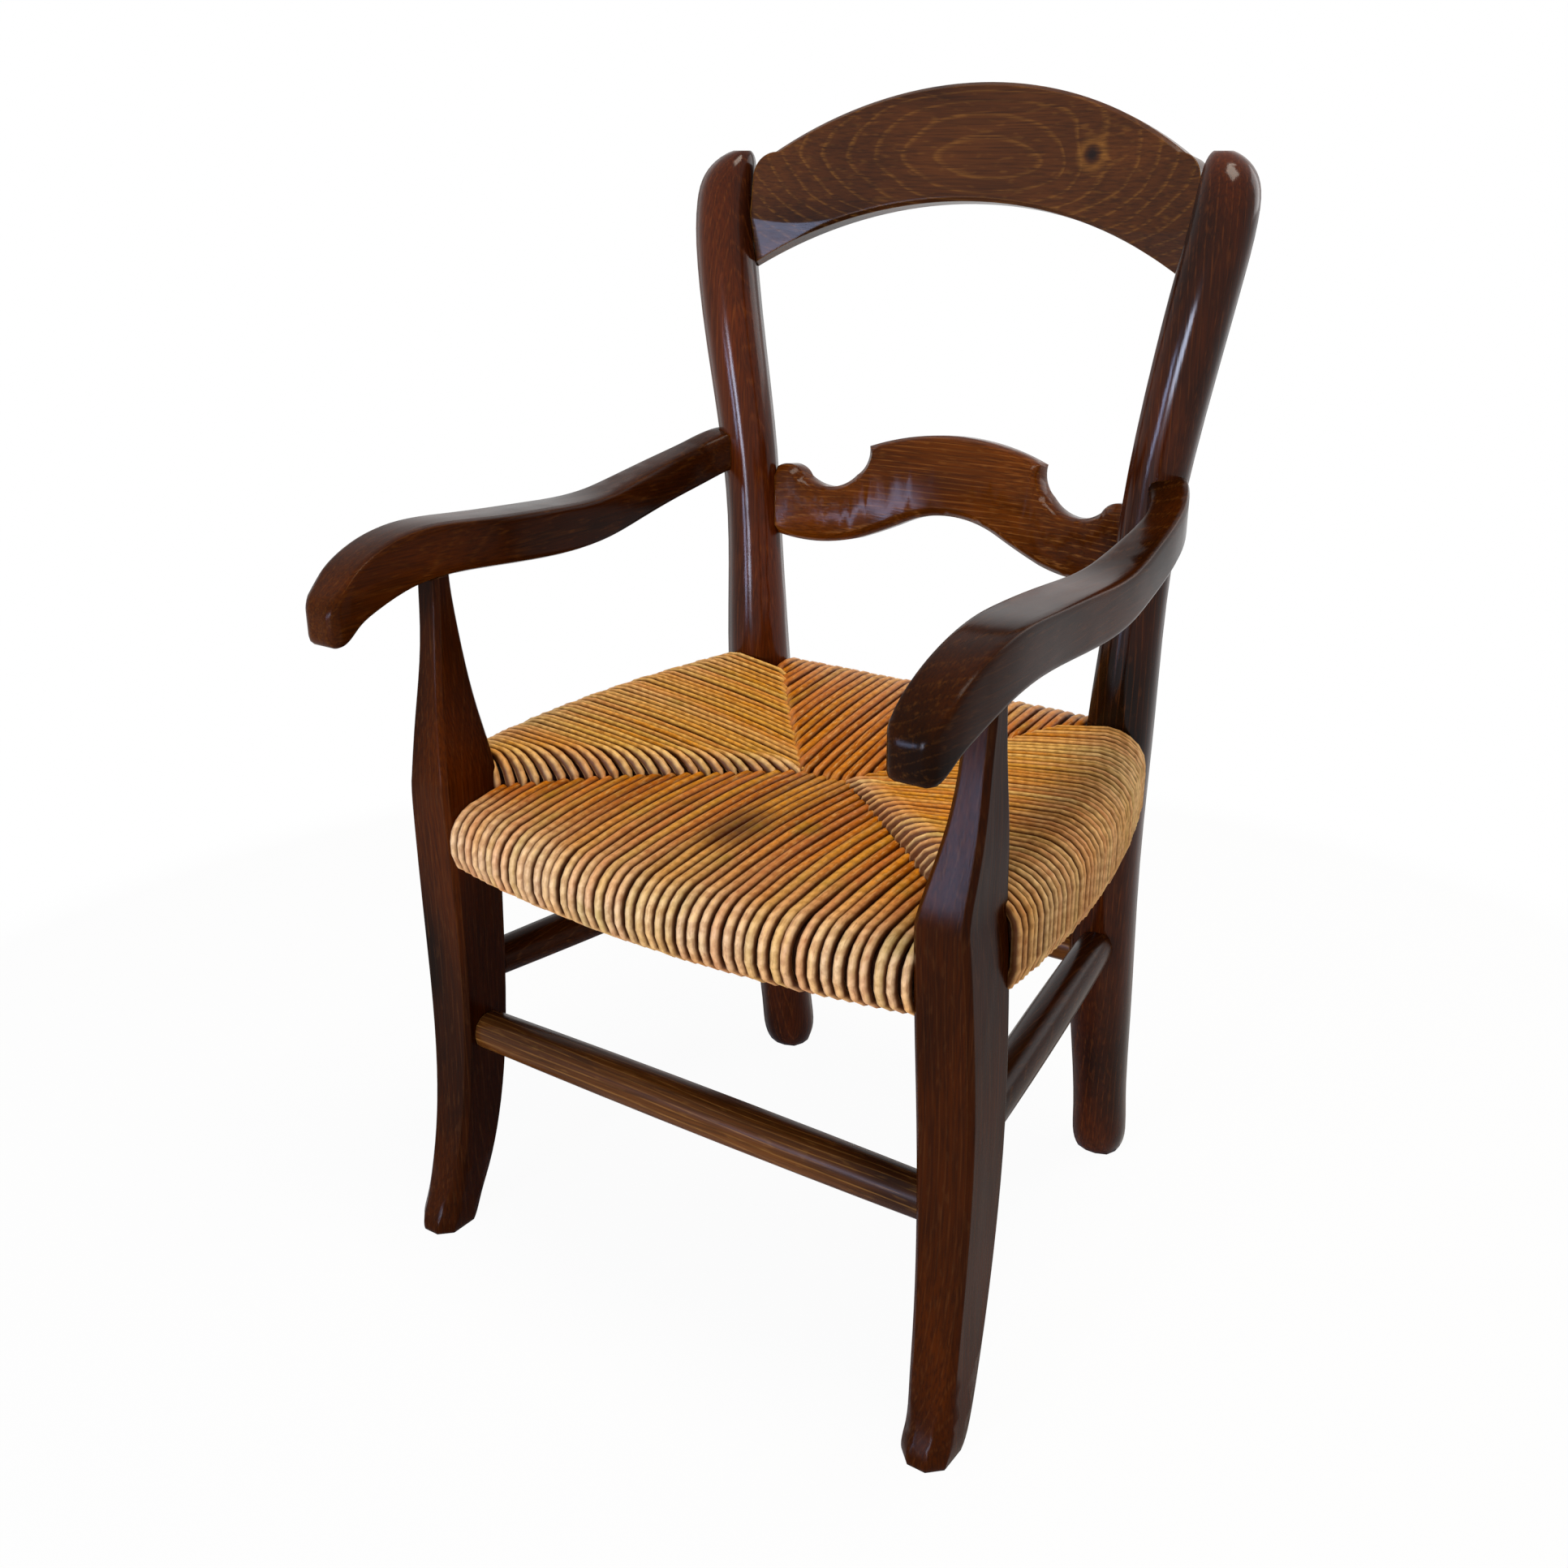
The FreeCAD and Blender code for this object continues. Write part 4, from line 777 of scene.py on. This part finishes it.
def lay_strand(field, points, lateral, width, shades, flare=0.0):
    """Adds one strand to a field's bmesh along its points; lateral is the direction across it."""
    bm = new_strand_mesh()
    tone = chance.uniform(*shades)
    phase = chance.uniform(0, math.tau)
    wander = chance.uniform(*WANDER) * MM
    lift = chance.uniform(*LIFT) * MM
    places = [place for place, _ in points]
    travel = 0.0
    for index, (place, rubbed) in enumerate(points):
        ahead = places[min(index + 1, len(places) - 1)] - places[max(index - 1, 0)]
        outward = lateral.cross(ahead).normalized()
        if index:
            travel += (place - places[index - 1]).length
            ring, edges, sides = next_ring(bm, ring, edges)
        else:
            bmesh.ops.create_circle(bm, cap_ends=False, segments=SIDES, radius=1.0)
            ring, edges, sides = {vert: vert.co.copy() for vert in bm.verts}, bm.edges[:], []
        swell = 1.0 + SWELL * math.sin(phase + travel / SWELL_LONG)
        swell *= END_SLIM if index in (0, len(points) - 1) else 1.0
        wide = lateral * width / 2 * swell * (1 + flare * max(0.0, 1 - index / FLARE_ROWS))
        thick = outward * STRAND_THICK / 2 * swell
        sway = SWAY * math.sin(phase * 1.7 + travel / SWAY_LONG) + wander
        middle = place + outward * (lift - STRAND_THICK / 2) + lateral * sway
        for vert, shape in ring.items():
            vert.co = middle + wide * shape.x + thick * shape.y
            angle = math.atan2(shape.y, shape.x) / math.tau
            for word, value in zip(STRAND_WORDS, (tone, travel, rubbed, angle)):
                vert[bm.verts.layers.float[word]] = value
        if not index:
            bmesh.ops.contextual_create(bm, geom=edges)
        unroll(bm, sides)
    bmesh.ops.contextual_create(bm, geom=edges)
    bmesh.ops.recalc_face_normals(bm, faces=bm.faces)
    single = bpy.data.meshes.new("strand")
    bm.to_mesh(single)
    bm.free()
    field.from_mesh(single)
    bpy.data.meshes.remove(single)


print("strands are", round(STRAND_THICK / MM, 1), "mm thick")

# %% [markdown]
# Twisted rush is a bundle of flat leaves turned round each other. The leaves' edges slant round
# the strand, so a wave along the UV map gives the twist, and a noise stretched along it gives the
# fibres. Real fibres are finer than a render shows, so each is drawn about a millimetre wide.

# %% The twist and the fibres
TWIST_LONG = 6.5 * MM
RAGGED = 3.33333 * MM
FIBRE_LONG = 5.55556 * MM
FIBRES_ROUND = 15.0
FIBRE_TONE = 120.0


def leaf_edges(tree, along, around, place):
    """0 in the groove between two leaves of a strand, 1 on a leaf."""
    slant = add(tree, "ShaderNodeMath", {"operation": "MULTIPLY_ADD"}, {
        0: along, 1: 1 / TWIST_LONG, 2: around})
    turned = add(tree, "ShaderNodeMath", {"operation": "MULTIPLY"}, {0: slant, 1: math.tau})
    wave = add(tree, "ShaderNodeMath", {"operation": "SINE"}, {0: turned})
    ragged = add(tree, "ShaderNodeTexNoise", None, {"Vector": place, "Scale": 1 / RAGGED})
    leaf = add(tree, "ShaderNodeMath", {"operation": "MULTIPLY_ADD"}, {
        0: wave, 1: 0.10, 2: ragged})
    return add(tree, "ShaderNodeValToRGB", None, {"Fac": leaf}, ((0.34, 0.0), (0.62, 1.0)))


def fibres(tree, along, around, tone):
    """Fine stripes along a strand, different on each strand because its tone shifts them."""
    stripes = add(tree, "ShaderNodeCombineXYZ", None, {0: around, 1: along, 2: tone})
    drawn = add(tree, "ShaderNodeVectorMath", {"operation": "MULTIPLY"}, {
        0: stripes, 1: (FIBRES_ROUND, 1 / FIBRE_LONG, FIBRE_TONE)})
    return add(tree, "ShaderNodeTexNoise", None, {
        "Vector": drawn, "Scale": 1.0, "Detail": 3.0, "Roughness": 0.6})


print("the leaves go round once in", round(TWIST_LONG / MM, 1), "mm")

# %% [markdown]
# Rush is golden, with greener, redder and paler leaves among it, and bleached on the rolls where
# sitters rub it. The front field of this seat has a dark stain near its middle. Painted shade
# darkens the grooves between the leaves and the flanks of each strand, where it meets the next.

# %% Colours of the rush
RUSH_GOLDS = ("#BC6604", "#D87E06", "#F2A024", "#FFC866")
GOLD_STOPS = (0.0, 0.3, 0.7, 1.0)
RUSH_PATCH = 38.4615 * MM
STAIN_PLACE = (0.006, -0.071, 0.267)
STAIN_STRETCH = (40.0, 21.0, 21.0)
LEAF_KINDS = 17.0


def stain_shape(tree, place, patch):
    """How far a point is from the stain's middle, with a ragged rim; about 1 is clear of it."""
    moved = add(tree, "ShaderNodeVectorMath", {"operation": "SUBTRACT"}, {
        0: place, 1: STAIN_PLACE})
    scaled = add(tree, "ShaderNodeVectorMath", {"operation": "MULTIPLY"}, {
        0: moved, 1: STAIN_STRETCH})
    away = add(tree, "ShaderNodeVectorMath", {"operation": "LENGTH"}, {0: scaled})
    return add(tree, "ShaderNodeMath", {"operation": "MULTIPLY_ADD"}, {0: patch, 1: 0.5, 2: away})


def rush_colour(tree, tone, leaf_edge, fibre, around, place):
    """The colour of a strand, from its own tone to the painted shade on its flanks."""
    rubbed = add(tree, "ShaderNodeAttribute", {"attribute_name": "rubbed"})
    patch = add(tree, "ShaderNodeTexNoise", None, {
        "Vector": place, "Scale": 1 / RUSH_PATCH, "Detail": 3.0})
    patchy = add(tree, "ShaderNodeValToRGB", None, {"Fac": patch}, ((0.25, 0.35), (0.65, 0.85)))
    bleached = add(tree, "ShaderNodeMath", {"operation": "MULTIPLY"}, {
        0: rubbed.outputs["Fac"], 1: patchy})
    kinds = add(tree, "ShaderNodeMath", {"operation": "MULTIPLY"}, {0: tone, 1: LEAF_KINDS})
    kind = add(tree, "ShaderNodeMath", {"operation": "FRACT"}, {0: kinds})
    turned = add(tree, "ShaderNodeMath", {"operation": "MULTIPLY"}, {0: around, 1: math.tau})
    wave = add(tree, "ShaderNodeMath", {"operation": "COSINE"}, {0: turned})
    flank_shade = add(tree, "ShaderNodeMath", {"operation": "ABSOLUTE"}, {0: wave})
    gold = add(tree, "ShaderNodeValToRGB", None, {"Fac": tone}, [
        (at, colour(code)) for at, code in zip(GOLD_STOPS, RUSH_GOLDS)])
    return glaze(tree, gold, (
        (bleached, None, "#FFDAA4"),
        # painted shade: the grooves between the leaves are darkened
        (leaf_edge, ((0.0, 0.42), (1.0, 0.0)), "#94500C"),
        (fibre, ((0.52, 0.0), (0.70, 0.55)), "#F4C478"),
        (fibre, ((0.30, 0.45), (0.44, 0.0)), "#8E4420"),
        (kind, ((0.62, 0.0), (0.78, 0.24)), "#E08C54"),
        (kind, ((0.12, 0.18), (0.24, 0.0)), "#C0AA40"),
        (patch, ((0.58, 0.0), (0.70, 0.38)), "#9A8A1C"),
        (stain_shape(tree, place, patch), ((0.45, 0.88), (1.0, 0.0)), "#4A2208"),
        # painted shade: each strand's flanks, where it meets the next, are darkened
        (flank_shade, ((0.30, 0.0), (0.72, 0.38), (0.95, 0.92)), "#4A1C04"),
    ))


print("rush golds", RUSH_GOLDS)

# %% [markdown]
# Dry rush is slightly waxy, so it has a faint, wide sheen and no gloss. The grooves between its
# leaves and its fibres are finer than the tube's faces, so a bump carries them.

# %% Twisted rush
FIBRE_DEEP = 0.20 * MM


def twisted_rush():
    """The material of the strands."""
    material, tree = new_material("hand_twisted_rush")
    place = add(tree, "ShaderNodeTexCoord").outputs["Object"]
    tone = add(tree, "ShaderNodeAttribute", {"attribute_name": "tone"}).outputs["Fac"]
    run = add(tree, "ShaderNodeUVMap", {"uv_map": "twist"})
    parts = add(tree, "ShaderNodeSeparateXYZ", None, {0: run})
    along, around = parts.outputs["X"], parts.outputs["Y"]
    leaf_edge = leaf_edges(tree, along, around, place)
    fibre = fibres(tree, along, around, tone)
    both = add(tree, "ShaderNodeMath", {"operation": "ADD"}, {0: leaf_edge, 1: fibre})
    high = add(tree, "ShaderNodeMath", {"operation": "MULTIPLY"}, {0: both, 1: 0.6})
    rise = add(tree, "ShaderNodeBump", None, {
        "Strength": 0.8, "Distance": FIBRE_DEEP, "Height": high})
    waxy = add(tree, "ShaderNodeBsdfPrincipled", None, {
        "Base Color": rush_colour(tree, tone, leaf_edge, fibre, around, place),
        "Roughness": 0.40, "IOR": 1.45, "Specular IOR Level": 0.11, "Normal": rise})
    add(tree, "ShaderNodeOutputMaterial", None, {"Surface": waxy})
    return material


rush = twisted_rush()
print("rush", rush.name, "nodes", len(rush.node_tree.nodes))

# %% [markdown]
# The front and rear fields run from front to back, the side fields from side to side. The side
# rows are drawn closer together and stand higher at the front corners, so their strands end as a
# row of tips above the front field, while the front strands slip in under them. A tone of 0 is the
# deepest gold and 1 the palest, and a strand is slightly slimmer than its share of the row.

# %% The four fields
FRONT_PITCH = 6.42 * MM
SIDE_PITCH = 4.8 * MM
SLIM = (0.80, 0.93)
SIDE_SLIM = (0.88, 1.0)
FRONT_SHADES = (0.0, 0.6)
REAR_SHADES = (0.0, 0.4)
# painted light: the side fields' strands are drawn paler than the front's, the left field's most, for
# the light that falls on them there
SIDE_TONES_PAINTED_LIGHT = {-1: (0.7, 1.0), 1: (0.45, 1.0)}
TIP_FLARE = 0.25


def strands_between(first, last, pitch):
    """Where the strands of a row stand, from one corner of the seat to the next, and their step."""
    count = round((last - first) / pitch)
    step = (last - first) / count
    return [first + (index + 0.5) * step for index in range(count)], step


bm = new_strand_mesh()
across = Vector((1.0, 0.0, 0.0))
columns, step = strands_between(-FRONT_CORNER.x, FRONT_CORNER.x, FRONT_PITCH)
for x in columns:
    centre, height = front_rail(x)
    outline = strand_outline(-front_seam(x), centre, height, FRONT_TALL, FRONT_INNER)
    path = [(Vector((x, -u, z)), rubbed) for u, z, rubbed in outline]
    lay_strand(bm, path, across, step * chance.uniform(*SLIM), FRONT_SHADES)
rear_columns, step = strands_between(-REAR_CORNER.x, REAR_CORNER.x, FRONT_PITCH)
for x in rear_columns:
    outline = strand_outline(rear_seam(x), REAR_OUT, REAR_HIGH, REAR_TALL, REAR_INNER)
    path = [(Vector((x, u, z)), rubbed) for u, z, rubbed in outline]
    lay_strand(bm, path, -across, step * chance.uniform(*SLIM), REAR_SHADES)
rows, step = strands_between(FRONT_CORNER.y - SIDE_PITCH, REAR_ROW_END, SIDE_PITCH)
for side, shades in SIDE_TONES_PAINTED_LIGHT.items():
    for y in rows:
        centre, height = side_rail(y)
        seam = side_seam(y)
        landing = front_top(seam, y) if y < SEAM_Y else None
        outline = strand_outline(seam, centre, height, SIDE_TALL, SIDE_INNER, landing)
        path = [(Vector((side * u, y, z)), rubbed) for u, z, rubbed in outline]
        width = step * chance.uniform(*SIDE_SLIM)
        flare = TIP_FLARE if landing else 0.0
        lay_strand(bm, path, Vector((0.0, side, 0.0)), width, shades, flare)
for face in bm.faces:
    face.smooth = True
strands = new_object("rush_strands", bm, rush)
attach(strands, "root")
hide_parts("rush_seat")
print("strands", len(columns), len(rear_columns), 2 * len(rows),
      "faces", len(strands.data.polygons))

# %% [markdown]
# Between the strands the eye meets deep brown gaps, not daylight, because the pockets are stuffed
# with scraps of rush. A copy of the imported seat, drawn in by a few millimetres, closes them. Beside
# the front seams it is lowered on to the front field, so it doesn't show between the tips.

# %% Stuffing under the strands
DRAWN_IN = 3.6 * MM
AT_SEAM = 1.5 * MM
SCRAP = 4.16667 * MM
SCRAP_DEEP = 0.6 * MM


def dry_stuffing():
    """Scraps of rush, painted dark brown for the shade they lie in, where hardly any light gets."""
    material, tree = new_material("packed_rush_scraps")
    place = add(tree, "ShaderNodeTexCoord")
    scraps = add(tree, "ShaderNodeTexNoise", None, {
        "Vector": place.outputs["Object"], "Scale": 1 / SCRAP, "Detail": 3.0})
    # painted shade: the scraps' dark browns stand for rush lying in shade between the strands
    shade = glaze(tree, colour("#30140A"), [(scraps, None, "#663410")])
    rise = add(tree, "ShaderNodeBump", None, {"Distance": SCRAP_DEEP, "Height": scraps})
    matt = add(tree, "ShaderNodeBsdfPrincipled", None, {
        "Base Color": shade, "Roughness": 0.85, "Normal": rise})
    add(tree, "ShaderNodeOutputMaterial", None, {"Surface": matt})
    return material


bm = bmesh.new()
bm.from_mesh(frame["nodes"]["rush_seat"].data)
bmesh.ops.remove_doubles(bm, verts=bm.verts, dist=WELD)
bm.normal_update()
for vert in bm.verts:
    x, y, z = vert.co
    beside_seam = SEAM_HALF < abs(x) < FRONT_CORNER.x and abs(y - front_seam(x)) < AT_SEAM
    if beside_seam and z > front_top(x, y):
        vert.co.z = front_top(x, y) - DRAWN_IN
    else:
        vert.co -= vert.normal * DRAWN_IN
for face in bm.faces:
    face.smooth = True
    face.material_index = 0
stuffing = new_object("rush_stuffing", bm, dry_stuffing())
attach(stuffing, "root")
print("stuffing", len(stuffing.data.polygons), "faces, drawn in by", DRAWN_IN / MM, "mm")
